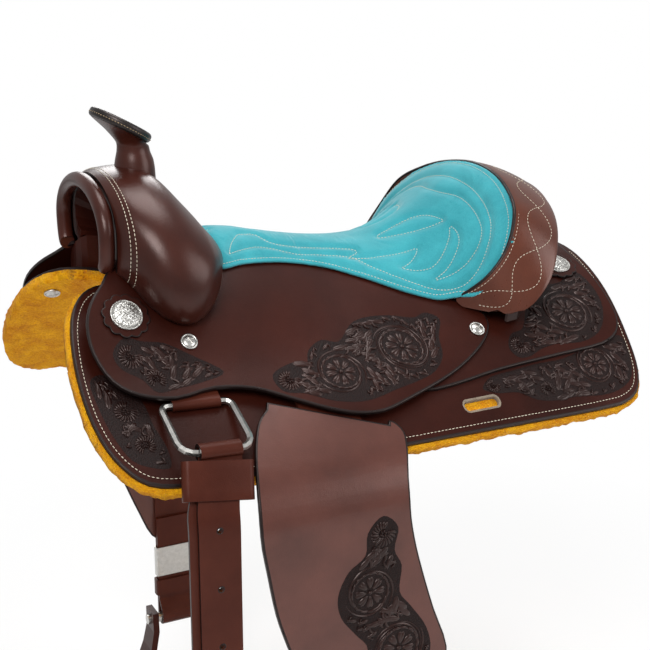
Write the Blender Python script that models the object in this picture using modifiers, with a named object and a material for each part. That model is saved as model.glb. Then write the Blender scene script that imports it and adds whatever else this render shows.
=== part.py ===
# Western pleasure saddle: padded suede seat, carved leather panels, fleece lined skirts.
# Metres, +Z up. The horn is towards -X, the cantle towards +X, the near (left) side towards -Y.
# The origin lies on the centre plane, under the seat, a little below the ridge of the skirts.
#
# The leather is laid up as on a real tree: every panel is a flat pattern, cut to its outline
# and then formed over one of two surfaces, the skirts' outer face and the seat's outer face.

import math
import bpy
import bmesh
from mathutils import Matrix, Vector

# Clearance between neighbouring pieces, and between pieces bent to different facets
FIT = 0.0003
FORMED_FIT = 0.0008

# Form of the skirts' outer face: a ridge along X that falls away to both sides
SKIRT_HALF_WIDTH = 0.250
SKIRT_EDGE_Z = -0.128
RIDGE_Z = 0.012
RIDGE_ROUND = 0.010
WITHERS_RISE = 0.64
LOIN_RISE = 0.04
SECTION_POWER = 1.45
SECTION_POWER_PER_METRE = 1.15

# Form of the seat leather above the skirts, at the middle and at the jockeys' lower edge
LIFT_SEAT = 0.026
LIFT_POMMEL = 0.045
LIFT_REAR_EDGE = 0.0125
LIFT_EDGE = 0.0206
LIFT_INNER_Y = 0.055
LIFT_OUTER_Y = 0.175

# Leather, fleece and tree thicknesses
SKIRT_LEATHER = 0.0050
JOCKEY_LEATHER = 0.0045
FLEECE_PILE = 0.0120
FLEECE_EDGE = 0.0028
COVER_LEATHER = 0.0032
LINING_LEATHER = 0.0025
GROUND_SEAT = 0.0055
FENDER_LEATHER = 0.0045
STRAP_LEATHER = 0.0040
RIGGING_LEATHER = 0.0022
LATIGO_LEATHER = 0.0035
WRAP_LEATHER = 0.0030

# Cantle: the rim's crown, its half width and how it sweeps forward to the corners
CANTLE_X = 0.234
CANTLE_TOP_Z = 0.1275
CANTLE_HALF_WIDTH = 0.168
CANTLE_SWEEP = 0.050
CANTLE_HEIGHT_POWER = 2.6
DISH_START_X = 0.050
DISH_START_PER_Y = 0.45
DISH_POWER = 1.8
BOARD_BEDDING = 0.0012
CANTLE_BACK_LEATHER = 0.003

# Seat pad
PAD_CROWN = 0.0110
PAD_EDGE = 0.0045
PAD_CHANNEL = 0.0035
PAD_BEDDING = 0.0012

# Swell: stations along X with the crown's height, the half width and the foot's half width
SWELL_STATIONS = (
    (-0.264, 0.149, 0.089, 0.081),
    (-0.254, 0.152, 0.110, 0.090),
    (-0.238, 0.154, 0.132, 0.110),
    (-0.221, 0.154, 0.143, 0.122),
    (-0.200, 0.146, 0.145, 0.125),
    (-0.178, 0.122, 0.138, 0.116),
    (-0.160, 0.100, 0.119, 0.099),
    (-0.148, 0.086, 0.095, 0.076),
)
SWELL_SHOULDER = 0.040
FORK_INSET = 0.0048
FORK_FOOT_INSET = 0.015
FORK_FRONT_X = -0.262
FORK_REAR_X = -0.156

# Gullet arch through the fork: half width and crown at the front and at the rear
GULLET_FRONT = (-0.262, 0.0760, 0.1400)
GULLET_REAR = (-0.156, 0.0600, 0.0560)
GULLET_FOOT = 0.0560
LINING_LENGTH = 0.060
GULLET_ROLL_RADIUS = 0.0085
GULLET_ROLL_X = -0.2730
GULLET_ROLL_INSET = 0.0075

# Horn: centre, radius and backward tilt of its rings, from the swell up to the cap
HORN_X = -0.2125
HORN_NECK_RADIUS = 0.0185
HORN_BASE_RADIUS = 0.0225
HORN_FLARE_RADIUS = 0.0325
HORN_CAP_X = -0.2310
HORN_CAP_Z = 0.2030
HORN_CAP_RADIUS = 0.0365
HORN_CAP_THICKNESS = 0.0110
HORN_TILT = math.radians(29.0)
HORN_WRAP_LEATHER = 0.0026

# Conchos, rosettes and screws
CONCHO_RADIUS = 0.0190
CONCHO_DOME = 0.0055
ROSETTE_RADIUS = 0.0265
ROSETTE_LEATHER = 0.0022
ROSETTE_SCALLOPS = 12
FRONT_CONCHO = (-0.268, 0.118)
REAR_CONCHO = (0.309, 0.084)
SCREW_RADIUS = 0.0095
SCREW_DOME = 0.0034
FRONT_SCREW = (-0.207, 0.140)
REAR_SCREW = (0.142, 0.160)
LINING_SCREW = (-0.292, 0.082)

# Rigging: the D ring's wire, width and drop, and the line of its straight bar
RING_X = -0.2190
RING_WIRE = 0.0036
RING_HALF_WIDTH = 0.0385
RING_DROP = 0.0700
RING_BAR_Y = 0.1815
RING_BAR_LIFT = 0.0052
RING_SLOPE = math.radians(25.0)
RING_SLANT = 0.049
RING_CORNER = 0.0165

# Latigo
LATIGO_WIDTH = 0.0445
LATIGO_X = -0.2320
LATIGO_BACK_SHIFT = -0.0085
LATIGO_PLUMB_Y = SKIRT_HALF_WIDTH + 0.0240
LATIGO_END_Z = -0.4700
HOLE_SPACING = 0.0635
HOLE_RADIUS = 0.0028
FIRST_HOLE_Z = -0.1690
HOLE_COUNT = 4
WRAP_HALF_LENGTH = 0.0345
WRAP_FOOT_Z = -0.1580
WRAP_SHARE = 0.56
WRAP_HEIGHT = 0.0400
WRAP_TILT = math.radians(8.0)

# Fender and stirrup
PIVOT_X = -0.0775
PIVOT_Y = 0.128
STRAP_HALF_WIDTH = 0.0320
FOLD_Y = 0.2136
FOLD_SLOPE = 0.330
FENDER_DATUM_Y = 0.2075
FENDER_REF_X = -0.090
FENDER_LIFT = 0.0062
STRAP_RISE = 0.0014
FENDER_BEND_Y = SKIRT_HALF_WIDTH
FENDER_PLUMB_Y = SKIRT_HALF_WIDTH + 0.0385
FENDER_BEND_DROP = 0.062
FENDER_END_Z = -0.500
BOLT_Z = -0.560
BOLT_RADIUS = 0.0072
LEATHER_END_Z = -0.405
BUCKLE_Z = -0.4730
BUCKLE_HEIGHT = 0.045
HOBBLE_Z = -0.5140
HOBBLE_HEIGHT = 0.024
STIRRUP_NECK = 0.0400
STIRRUP_TREAD = 0.0690
STIRRUP_DROP = 0.150
STIRRUP_WALL = 0.0090
STIRRUP_WIDTH = 0.0500

# Grid of the formed panels
GRID_X = 0.0520
GRID_Y = 0.0290

# Outlines as (x, distance from the centre plane); the two sides mirror each other
SKIRT_OUTLINE = (
    (-0.262, 0.046), (-0.296, 0.062), (-0.318, 0.092), (-0.329, 0.137), (-0.329, 0.183),
    (-0.317, 0.218), (-0.290, 0.243), (-0.240, 0.250), (-0.100, 0.2495), (0.100, 0.250),
    (0.285, 0.250), (0.318, 0.242), (0.335, 0.222), (0.344, 0.190), (0.355, 0.130),
    (0.361, 0.060), (0.362, 0.016), (0.359, 0.013), (0.300, 0.014), (0.220, 0.026),
    (0.080, 0.036), (-0.160, 0.036),
)
SKIRT_SLOT = (0.108, 0.2255, 0.045, 0.009)
JOCKEY_OUTLINE = (
    (-0.143, 0.0022), (-0.080, 0.0015), (0.000, 0.0015), (0.070, 0.0015), (0.082, 0.0080),
    (0.088, 0.055),
    (0.102, 0.100), (0.130, 0.122), (0.150, 0.131), (0.161, 0.142), (0.161, 0.157),
    (0.145, 0.173), (0.113, 0.190), (0.062, 0.209), (0.014, 0.224), (-0.021, 0.231),
    (-0.051, 0.229), (-0.081, 0.220), (-0.120, 0.203), (-0.154, 0.189), (-0.196, 0.184),
    (-0.240, 0.190), (-0.277, 0.184), (-0.300, 0.170), (-0.312, 0.146), (-0.311, 0.124),
    (-0.300, 0.106), (-0.283, 0.090), (-0.271, 0.076), (-0.2645, 0.072), (-0.256, 0.079),
    (-0.245, 0.0915), (-0.232, 0.1045), (-0.216, 0.1130), (-0.199, 0.1140), (-0.181, 0.1070),
    (-0.167, 0.0970), (-0.156, 0.0850), (-0.1525, 0.0740), (-0.1520, 0.050), (-0.1515, 0.020),
)
REAR_JOCKEY_OUTLINE = (
    (0.350, 0.016), (0.346, 0.060), (0.347, 0.120), (0.342, 0.165), (0.328, 0.184),
    (0.300, 0.193), (0.238, 0.195), (0.150, 0.198), (0.085, 0.204), (0.048, 0.204),
    (0.036, 0.190), (0.050, 0.160), (0.085, 0.136), (0.130, 0.132), (0.210, 0.131),
    (0.240, 0.122), (0.245, 0.100), (0.246, 0.050), (0.250, 0.018), (0.256, 0.014),
    (0.345, 0.013),
)
BAR_OUTLINE = (
    (-0.266, 0.078), (-0.261, 0.058), (-0.240, 0.048), (-0.150, 0.047), (0.100, 0.047),
    (0.215, 0.048), (0.232, 0.058), (0.235, 0.090), (0.228, 0.114), (0.200, 0.123),
    (0.100, 0.121), (0.000, 0.112), (-0.100, 0.114), (-0.200, 0.121), (-0.250, 0.116),
    (-0.263, 0.101),
)
# Half outlines that cross the centre plane
GROUND_SEAT_OUTLINE = (
    (-0.104, 0.0), (-0.104, 0.060), (-0.100, 0.092), (-0.086, 0.104), (0.000, 0.108),
    (0.060, 0.110), (0.082, 0.100), (0.086, 0.060), (0.086, 0.0),
)
BOARD_OUTLINE = (
    (0.131, 0.0), (0.132, 0.060), (0.138, 0.108), (0.148, 0.124), (0.160, 0.136),
    (0.172, 0.144), (0.187, 0.146), (0.201, 0.134), (0.214, 0.110), (0.222, 0.080),
    (0.227, 0.040), (0.229, 0.0),
)
PAD_OUTLINE = (
    (-0.1435, 0.0), (-0.1440, 0.040), (-0.1455, 0.064), (-0.138, 0.0715), (-0.110, 0.0640),
    (-0.055, 0.0560), (-0.010, 0.0610), (0.030, 0.0800), (0.070, 0.1040), (0.105, 0.1200),
    (0.133, 0.1300), (0.152, 0.1440), (0.170, 0.1530), (0.188, 0.1530), (0.205, 0.1400),
    (0.217, 0.1150), (0.226, 0.0800), (0.231, 0.0400), (0.2325, 0.0),
)
PAD_SPINE = (-0.105, 0.165)

# Cantle roll: its inner edge along the rim and its outer edge, from the crown to the corner
ROLL_INNER = (
    (0.2350, 0.000, 0.1265), (0.2300, 0.055, 0.1205), (0.2215, 0.100, 0.1055),
    (0.2080, 0.138, 0.080), (0.1900, 0.158, 0.042), (0.1650, 0.155, 0.008),
    (0.1370, 0.133, -0.0165),
)
ROLL_OUTER = (
    (0.2910, 0.000, 0.1080), (0.2890, 0.060, 0.1010), (0.2795, 0.112, 0.0820),
    (0.2560, 0.151, 0.058), (0.2220, 0.170, 0.028), (0.1820, 0.164, -0.004),
    (0.1400, 0.1365, -0.0175),
)
ROLL_THICKNESS = 0.0120
ROLL_BULGE = 0.0040

# Fender pattern as (x, drop along the leather from its datum), from the fold's front corner
FENDER_OUTLINE = (
    (-0.144, -0.008), (-0.158, 0.004), (-0.167, 0.018), (-0.179, 0.047), (-0.190, 0.089),
    (-0.193, 0.130), (-0.186, 0.175), (-0.177, 0.221), (-0.166, 0.256), (-0.150, 0.300),
    (-0.132, 0.345), (-0.114, 0.384), (-0.092, 0.396), (-0.063, 0.396), (-0.040, 0.384),
    (-0.008, 0.366), (0.022, 0.340), (0.028, 0.306), (0.010, 0.256), (-0.006, 0.205),
    (-0.016, 0.167), (-0.0215, 0.132), (-0.020, 0.100), (-0.010, 0.068), (-0.006, 0.050),
    (-0.012, 0.036), (-0.020, 0.032),
)

COLOURS = {
    "leather": ((0.060, 0.022, 0.014), 0.42, 0.0),
    "fender": ((0.095, 0.030, 0.016), 0.42, 0.0),
    "strap": ((0.110, 0.038, 0.022), 0.55, 0.0),
    "roll": ((0.130, 0.036, 0.016), 0.38, 0.0),
    "suede": ((0.050, 0.430, 0.480), 0.95, 0.0),
    "fleece": ((0.850, 0.380, 0.030), 1.00, 0.0),
    "wood": ((0.420, 0.270, 0.130), 0.70, 0.0),
    "black": ((0.012, 0.012, 0.014), 0.45, 0.0),
    "nickel": ((0.620, 0.600, 0.570), 0.32, 1.0),
}

SIDES = (("left", -1), ("right", 1))


# Scene and materials

def clear_scene():
    for obj in list(bpy.data.objects):
        bpy.data.objects.remove(obj)
    saddle = bpy.data.collections.new("pleasure_saddle")
    cutters = bpy.data.collections.new("cutters")
    for collection in (saddle, cutters):
        bpy.context.scene.collection.children.link(collection)
    return saddle, cutters


def finish_material(name, kind):
    colour, roughness, metallic = COLOURS[kind]
    material = bpy.data.materials.new(name)
    material.use_nodes = True
    shader = material.node_tree.nodes["Principled BSDF"]
    shader.inputs["Base Color"].default_value = (*colour, 1.0)
    shader.inputs["Roughness"].default_value = roughness
    shader.inputs["Metallic"].default_value = metallic
    return material


def add_node(name, mesh, kind, smooth=True):
    mesh.name = name
    mesh.materials.clear()
    mesh.materials.append(finish_material(name, kind))
    if smooth:
        mesh.shade_smooth()
        mesh.set_sharp_from_angle(angle=math.radians(40.0))
    obj = bpy.data.objects.new(name, mesh)
    SADDLE.objects.link(obj)
    return obj


def add_cutter(name, mesh):
    obj = bpy.data.objects.new(name, mesh)
    obj.hide_render = True
    obj.display_type = "WIRE"
    CUTTERS.objects.link(obj)
    return obj


def carve(obj, cutter):
    modifier = obj.modifiers.new(cutter.name, "BOOLEAN")
    modifier.object = cutter
    modifier.operation = "DIFFERENCE"
    modifier.solver = "EXACT"
    return obj


def hang(obj, pivot):
    # The piece keeps its place and turns about an empty on its joint's axis.
    obj.parent = pivot
    obj.location = obj.location - pivot.location
    return obj


def pivot_at(name, point):
    pivot = bpy.data.objects.new(name, None)
    pivot.empty_display_size = 0.03
    pivot.location = point
    SADDLE.objects.link(pivot)
    return pivot


# Surfaces

def smooth_step(start, end, value):
    s = min(1.0, max(0.0, (value - start) / (end - start)))
    return s * s * (3.0 - 2.0 * s)


def rounded_distance(y):
    return math.sqrt(y * y + RIDGE_ROUND * RIDGE_ROUND) - RIDGE_ROUND


def skirt_z(x, y):
    ridge = RIDGE_Z + (WITHERS_RISE if x < 0.0 else LOIN_RISE) * x * x
    power = SECTION_POWER + SECTION_POWER_PER_METRE * x
    share = rounded_distance(y) / rounded_distance(SKIRT_HALF_WIDTH)
    return ridge - (ridge - SKIRT_EDGE_Z) * share ** power


def seat_z(x, y):
    # Outer face of the seat leather and the side jockeys.
    middle = LIFT_SEAT + (LIFT_POMMEL - LIFT_SEAT) * smooth_step(0.06, -0.14, x)
    edge = LIFT_REAR_EDGE + (LIFT_EDGE - LIFT_REAR_EDGE) * smooth_step(0.10, 0.0, x)
    share = 1.0 - smooth_step(LIFT_INNER_Y, LIFT_OUTER_Y, abs(y))
    return skirt_z(x, y) + edge + (middle - edge) * share


def rim_x(y):
    return CANTLE_X - CANTLE_SWEEP * min(1.0, abs(y) / 0.160) ** 3


def rim_z(y):
    share = min(1.0, abs(y) / CANTLE_HALF_WIDTH)
    return CANTLE_TOP_Z * (1.0 - share ** CANTLE_HEIGHT_POWER) ** 0.6


def dish_z(x, y):
    # The seat leather's face where it climbs the cantle.
    start = DISH_START_X + DISH_START_PER_Y * abs(y)
    end = rim_x(y)
    share = min(1.0, max(0.0, (x - start) / (end - start)))
    return seat_z(x, y) + max(0.0, rim_z(y) - seat_z(end, y)) * share ** DISH_POWER


def on_surface(height, x, y, t):
    # The point at distance t along the surface's normal.
    step = 0.0005
    slope_x = (height(x + step, y) - height(x - step, y)) / (2.0 * step)
    slope_y = (height(x, y + step) - height(x, y - step)) / (2.0 * step)
    normal = Vector((-slope_x, -slope_y, 1.0)).normalized()
    return Vector((x, y, height(x, y))) + t * normal


def surface_frame(height, x, y, t, flip=1.0):
    # A placement whose Z is the surface's normal and whose X runs along the saddle.
    origin = on_surface(height, x, y, t)
    z_axis = (on_surface(height, x, y, t + 0.01) - origin).normalized() * flip
    y_axis = z_axis.cross(Vector((1.0, 0.0, 0.0))).normalized()
    x_axis = y_axis.cross(z_axis)
    frame = Matrix((x_axis, y_axis, z_axis)).transposed().to_4x4()
    return Matrix.Translation(origin) @ frame


# Outlines

def smooth_outline(points, steps=2, closed=True):
    # Catmull-Rom curve through the points.
    count = len(points)
    result = []
    spans = count if closed else count - 1
    for i in range(spans):
        p0, p1, p2, p3 = (
            Vector(points[(i + k) % count] if closed else points[min(count - 1, max(0, i + k))])
            for k in (-1, 0, 1, 2)
        )
        for k in range(steps):
            s = k / steps
            result.append(0.5 * (2.0 * p1 + (p2 - p0) * s
                                 + (2.0 * p0 - 5.0 * p1 + 4.0 * p2 - p3) * s * s
                                 + (3.0 * p1 - p0 - 3.0 * p2 + p3) * s ** 3))
    if not closed:
        result.append(Vector(points[-1]))
    return result


def mirrored_outline(half, steps=2):
    # A closed outline from its half with Y >= 0, which starts and ends on the centre plane.
    right = smooth_outline(half, steps, closed=False)
    left = [Vector((p.x, -p.y)) for p in reversed(right[1:-1])]
    return right + left


def grown_outline(points, distance):
    centre_area = sum(a.x * b.y - b.x * a.y for a, b in zip(points, points[1:] + points[:1]))
    turn = 1.0 if centre_area > 0.0 else -1.0
    result = []
    for i, point in enumerate(points):
        along = points[(i + 1) % len(points)] - points[i - 1]
        outward = Vector((along.y, -along.x)).normalized() * turn
        result.append(point + distance * outward)
    return result


def slot_outline(centre, length, width, angle):
    turn = Matrix.Rotation(angle, 2)
    straight = 0.5 * (length - width)
    result = []
    for k in range(12):
        a = math.tau * (k + 0.5) / 12
        end = straight if math.cos(a) > 0.0 else -straight
        point = Vector((end + 0.5 * width * math.cos(a), 0.5 * width * math.sin(a)))
        result.append(Vector(centre) + turn @ point)
    return result


# Mesh tools

def evaluated_mesh(obj):
    depsgraph = bpy.context.evaluated_depsgraph_get()
    return bpy.data.meshes.new_from_object(obj.evaluated_get(depsgraph))


def prism_mesh(outline, low, high):
    bm = bmesh.new()
    corners = [bm.verts.new((p.x, p.y, low)) for p in outline]
    loop = [bm.edges.new(pair) for pair in zip(corners, corners[1:] + corners[:1])]
    bmesh.ops.triangle_fill(bm, edges=loop, use_beauty=True)
    top = bmesh.ops.extrude_face_region(bm, geom=bm.faces[:])["geom"]
    lift = [v for v in top if isinstance(v, bmesh.types.BMVert)]
    bmesh.ops.translate(bm, verts=lift, vec=(0.0, 0.0, high - low))
    bmesh.ops.recalc_face_normals(bm, faces=bm.faces)
    mesh = bpy.data.meshes.new("prism")
    bm.to_mesh(mesh)
    bm.free()
    return mesh


def flat_slab(x_lines, y_lines):
    # A block of one cell thickness, its top at z = 1, on the given grid lines.
    bm = bmesh.new()
    bmesh.ops.create_grid(bm, x_segments=len(x_lines) - 1, y_segments=len(y_lines) - 1, size=0.5)
    for vert in bm.verts:
        column = round((vert.co.x + 0.5) * (len(x_lines) - 1))
        row = round((vert.co.y + 0.5) * (len(y_lines) - 1))
        vert.co = (x_lines[column], y_lines[row], 0.0)
    bmesh.ops.triangulate(bm, faces=bm.faces, quad_method="FIXED")
    top = bmesh.ops.extrude_face_region(bm, geom=bm.faces[:])["geom"]
    lift = [v for v in top if isinstance(v, bmesh.types.BMVert)]
    bmesh.ops.translate(bm, verts=lift, vec=(0.0, 0.0, 1.0))
    bmesh.ops.recalc_face_normals(bm, faces=bm.faces)
    return bm


def grid_lines(low, high, step):
    return [k * step for k in range(math.floor(low / step) - 1, math.ceil(high / step) + 2)]


def shape_slab(bm, place, weld=0.00001):
    # Each point at (u, v) goes to place(u, v, w), with w 0 below and 1 above.
    for vert in bm.verts:
        vert.co = place(vert.co.x, vert.co.y, 1.0 if vert.co.z > 0.5 else 0.0)
    bmesh.ops.remove_doubles(bm, verts=bm.verts, dist=weld)
    bmesh.ops.dissolve_degenerate(bm, edges=bm.edges, dist=weld)
    bmesh.ops.triangulate(bm, faces=bm.faces)
    bmesh.ops.recalc_face_normals(bm, faces=bm.faces)
    mesh = bpy.data.meshes.new("slab")
    bm.to_mesh(mesh)
    bm.free()
    return mesh


def slab_mesh(u_count, v_count, place):
    u_lines = [k / u_count for k in range(u_count + 1)]
    v_lines = [k / v_count for k in range(v_count + 1)]
    return shape_slab(flat_slab(u_lines, v_lines), place)


def pattern_mesh(outline, place, holes=(), step_x=GRID_X, step_y=GRID_Y):
    # A flat block cut to the outline, then formed by place(x, y, w).
    xs = [p.x for p in outline]
    ys = [p.y for p in outline]
    bm = flat_slab(grid_lines(min(xs), max(xs), step_x), grid_lines(min(ys), max(ys), step_y))
    flat = bpy.data.meshes.new("flat")
    bm.to_mesh(flat)
    bm.free()
    block = add_cutter("block", flat)
    tools = [(add_cutter("outline", prism_mesh(outline, -0.5, 1.5)), "INTERSECT")]
    tools += [(add_cutter("hole", prism_mesh(hole, -0.5, 1.5)), "DIFFERENCE") for hole in holes]
    for tool, operation in tools:
        modifier = block.modifiers.new("cut", "BOOLEAN")
        modifier.object = tool
        modifier.operation = operation
        modifier.solver = "EXACT"
    bm = bmesh.new()
    bm.from_mesh(evaluated_mesh(block))
    for obj in [block] + [tool for tool, operation in tools]:
        bpy.data.objects.remove(obj)
    return shape_slab(bm, place)


def formed_panel(name, kind, outline, side, low, high, holes=()):
    # low and high are (surface, distance) pairs for the two faces of the leather.
    def place(x, y, w):
        height, t = high if w > 0.5 else low
        distance = t(x, y) if callable(t) else t
        return on_surface(height, x, side * y, distance)
    return add_node(name, pattern_mesh(outline, place, holes), kind)


def loft_mesh(rings, closed_ends=True):
    # Rings of equal point counts joined into one skin.
    rows, columns = len(rings), len(rings[0])
    bm = bmesh.new()
    bmesh.ops.create_grid(bm, x_segments=columns, y_segments=rows - 1, size=0.5)
    for vert in bm.verts:
        column = round((vert.co.x + 0.5) * columns) % columns
        row = round((vert.co.y + 0.5) * (rows - 1))
        vert.co = rings[row][column]
    bmesh.ops.remove_doubles(bm, verts=bm.verts, dist=0.00001)
    if closed_ends:
        open_edges = [e for e in bm.edges if e.is_boundary]
        bmesh.ops.holes_fill(bm, edges=open_edges, sides=0)
    bmesh.ops.triangulate(bm, faces=bm.faces)
    bmesh.ops.recalc_face_normals(bm, faces=bm.faces)
    mesh = bpy.data.meshes.new("loft")
    bm.to_mesh(mesh)
    bm.free()
    return mesh


def turned(name, kind, profile, steps=24):
    # A profile of (radius, height) points, from its top on the axis down its outer side.
    bm = bmesh.new()
    points = [bm.verts.new((radius, 0.0, height)) for radius, height in profile]
    for a, b in zip(points, points[1:]):
        bm.edges.new((a, b))
    mesh = bpy.data.meshes.new("profile")
    bm.to_mesh(mesh)
    bm.free()
    obj = add_node(name, mesh, kind, smooth=False)
    screw = obj.modifiers.new("turn", "SCREW")
    screw.steps = steps
    screw.render_steps = steps
    screw.use_merge_vertices = True
    screw.merge_threshold = 0.0001
    screw.use_smooth_shade = True
    return obj


def cylinder_mesh(radius, start, end, sides=16):
    axis = Vector(end) - Vector(start)
    bm = bmesh.new()
    bmesh.ops.create_cone(bm, cap_ends=True, segments=sides, radius1=radius, radius2=radius,
                          depth=axis.length)
    turn = axis.to_track_quat("Z", "Y").to_matrix().to_4x4()
    middle = (Vector(start) + Vector(end)) / 2.0
    bmesh.ops.transform(bm, matrix=Matrix.Translation(middle) @ turn, verts=bm.verts)
    mesh = bpy.data.meshes.new("cylinder")
    bm.to_mesh(mesh)
    bm.free()
    return mesh


def path_strap_mesh(path, thickness, edges, rows=2, slant=None):
    # A strap whose mean line follows path, a list of (y, z), between edges(k) = (x low, x high).
    # slant(k) is how much it rises per metre of X there.
    count = len(path) - 1
    points = [Vector(p) for p in path]

    def place(u, v, w):
        k = round(u * count)
        along = points[min(count, k + 1)] - points[max(0, k - 1)]
        outward = Vector((-along.y, along.x)).normalized()
        point = points[k] + (w - 0.5) * thickness * outward
        low, high = edges(k)
        rise = slant(k) * (high - low) * (v - 0.5) if slant else 0.0
        return Vector((low + (high - low) * v, point.x, point.y + rise))
    return slab_mesh(count, rows, place)


def band_mesh(centre, half_x, half_y, height, wall, tilt=0.0, lean=0.0, corner=0.006, sides=4):
    # A closed sleeve around a pair of straps, its opening along Z.
    loop = []
    for quarter in range(4):
        a0 = math.pi / 2.0 * quarter
        cx = (half_x - corner) * (1.0 if quarter in (0, 3) else -1.0)
        cy = (half_y - corner) * (1.0 if quarter in (0, 1) else -1.0)
        for k in range(sides):
            a = a0 + math.pi / 2.0 * k / (sides - 1)
            loop.append((Vector((cx, cy)), Vector((math.cos(a), math.sin(a)))))
    turn = (Matrix.Translation(centre) @ Matrix.Rotation(lean, 4, "X")
            @ Matrix.Rotation(tilt, 4, "Y"))

    def ring(w, v):
        flats = [spot + (corner + w * wall) * ray for spot, ray in loop]
        return [turn @ Vector((flat.x, flat.y, v * height)) for flat in flats]
    outer_low = ring(1.0, -0.5)
    rings = [outer_low, ring(1.0, 0.5), ring(0.0, 0.5), ring(0.0, -0.5), outer_low]
    return loft_mesh(rings, closed_ends=False)


# Fleece, skirts, tree bars

def make_skirts():
    outline = smooth_outline(SKIRT_OUTLINE)
    slot_x, slot_y, slot_length, slot_width = SKIRT_SLOT
    slot = slot_outline((slot_x, slot_y), slot_length, slot_width, math.radians(-1.0))
    pile_top = -SKIRT_LEATHER - 1.5 * FIT
    for label, side in SIDES:
        formed_panel("skirt_" + label, "leather", outline, side,
                     (skirt_z, -SKIRT_LEATHER), (skirt_z, 0.0), holes=[slot])
        pile = grown_outline(smooth_outline(SKIRT_OUTLINE, 1), FLEECE_EDGE)
        formed_panel("fleece_" + label, "fleece", pile, side,
                     (skirt_z, pile_top - FLEECE_PILE), (skirt_z, pile_top))


def bar_depth(x, y):
    # How far the bar's top lies under the seat leather's face.
    seat_gap = JOCKEY_LEATHER + GROUND_SEAT + 2.0 * FORMED_FIT
    jockey_gap = JOCKEY_LEATHER + FIT
    front = smooth_step(-0.150, -0.110, x)
    depth = jockey_gap + (seat_gap - jockey_gap) * front
    return -depth * (1.0 - smooth_step(0.110, 0.150, x)) - 0.0002


def make_bars():
    outline = smooth_outline(BAR_OUTLINE)
    for label, side in SIDES:
        formed_panel("tree_bar_" + label, "wood", outline, side,
                     (skirt_z, FORMED_FIT), (seat_z, bar_depth))


def make_ground_seat():
    top = -JOCKEY_LEATHER - FORMED_FIT
    formed_panel("ground_seat", "wood", mirrored_outline(GROUND_SEAT_OUTLINE), 1,
                 (seat_z, top - GROUND_SEAT), (seat_z, top))


# Fork, swell and gullet

def swell_station(x):
    stations = SWELL_STATIONS
    x = min(stations[-1][0], max(stations[0][0], x))
    k = max(i for i in range(len(stations) - 1) if stations[i][0] <= x)
    low, high = stations[k], stations[k + 1]
    before = stations[max(0, k - 1)]
    after = stations[min(len(stations) - 1, k + 2)]
    s = (x - low[0]) / (high[0] - low[0])
    values = []
    for i in (1, 2, 3):
        slope_low = (high[i] - before[i]) / (high[0] - before[0]) * (high[0] - low[0])
        slope_high = (after[i] - low[i]) / (after[0] - low[0]) * (high[0] - low[0])
        values.append((2 * s ** 3 - 3 * s * s + 1) * low[i] + (s ** 3 - 2 * s * s + s) * slope_low
                      + (3 * s * s - 2 * s ** 3) * high[i] + (s ** 3 - s * s) * slope_high)
    return values


def arch_point(a, half_width, crown, shoulder_z, foot, foot_z):
    # Quarter ellipse from the crown to the shoulder, then curled in to the foot.
    if a <= 0.6:
        q = a / 0.6 * math.pi / 2.0
        y = half_width * math.sin(q)
        z = shoulder_z + (crown - shoulder_z) * math.cos(q)
    else:
        q = min(1.0, (a - 0.6) / 0.3) * math.pi / 2.0
        y = foot + (half_width - foot) * math.cos(q)
        z = shoulder_z - (shoulder_z - foot_z) * math.sin(q)
    return y, z


def swell_point(x, u, inset, foot_inset, foot_depth):
    # u runs from -1 at the near foot over the crown to 1 at the off foot.
    crown, half_width, foot = swell_station(x)
    base_z = seat_z(x, foot)
    shoulder_z = base_z + min(SWELL_SHOULDER, 0.4 * (crown - base_z))
    crown -= inset
    half_width -= inset
    foot -= foot_inset
    y, z = arch_point(abs(u), half_width, crown, shoulder_z, foot, seat_z(x, foot) + 0.001)
    return Vector((x, math.copysign(y, u), z - (foot_depth if abs(u) > 0.95 else 0.0)))


def gullet_point(x, u, inset, foot_depth):
    share = (x - GULLET_FRONT[0]) / (GULLET_REAR[0] - GULLET_FRONT[0])
    half_width = GULLET_FRONT[1] + (GULLET_REAR[1] - GULLET_FRONT[1]) * share - inset
    crown = GULLET_FRONT[2] + (GULLET_REAR[2] - GULLET_FRONT[2]) * share - inset
    foot = GULLET_FOOT - inset
    foot_z = min(seat_z(x, foot) + 0.001, crown - 0.012)
    shoulder_z = foot_z + 0.45 * (crown - foot_z)
    y, z = arch_point(abs(u), half_width, crown, shoulder_z, foot, foot_z)
    return Vector((x, math.copysign(y, u), z - (foot_depth if abs(u) > 0.95 else 0.0)))


def bed_cutter(name, x_low, x_high, t):
    # Everything below the seat leather's face, raised by t.
    def place(x, y, w):
        if w > 0.5:
            distance = t(x, y) if callable(t) else t
            return on_surface(seat_z, x, y, distance)
        return Vector((x, y, SKIRT_EDGE_Z - 0.1))
    x_lines = grid_lines(x_low, x_high, GRID_X)
    y_lines = grid_lines(-0.22, 0.22, GRID_Y)
    return add_cutter(name, shape_slab(flat_slab(x_lines, y_lines), place))


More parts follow.
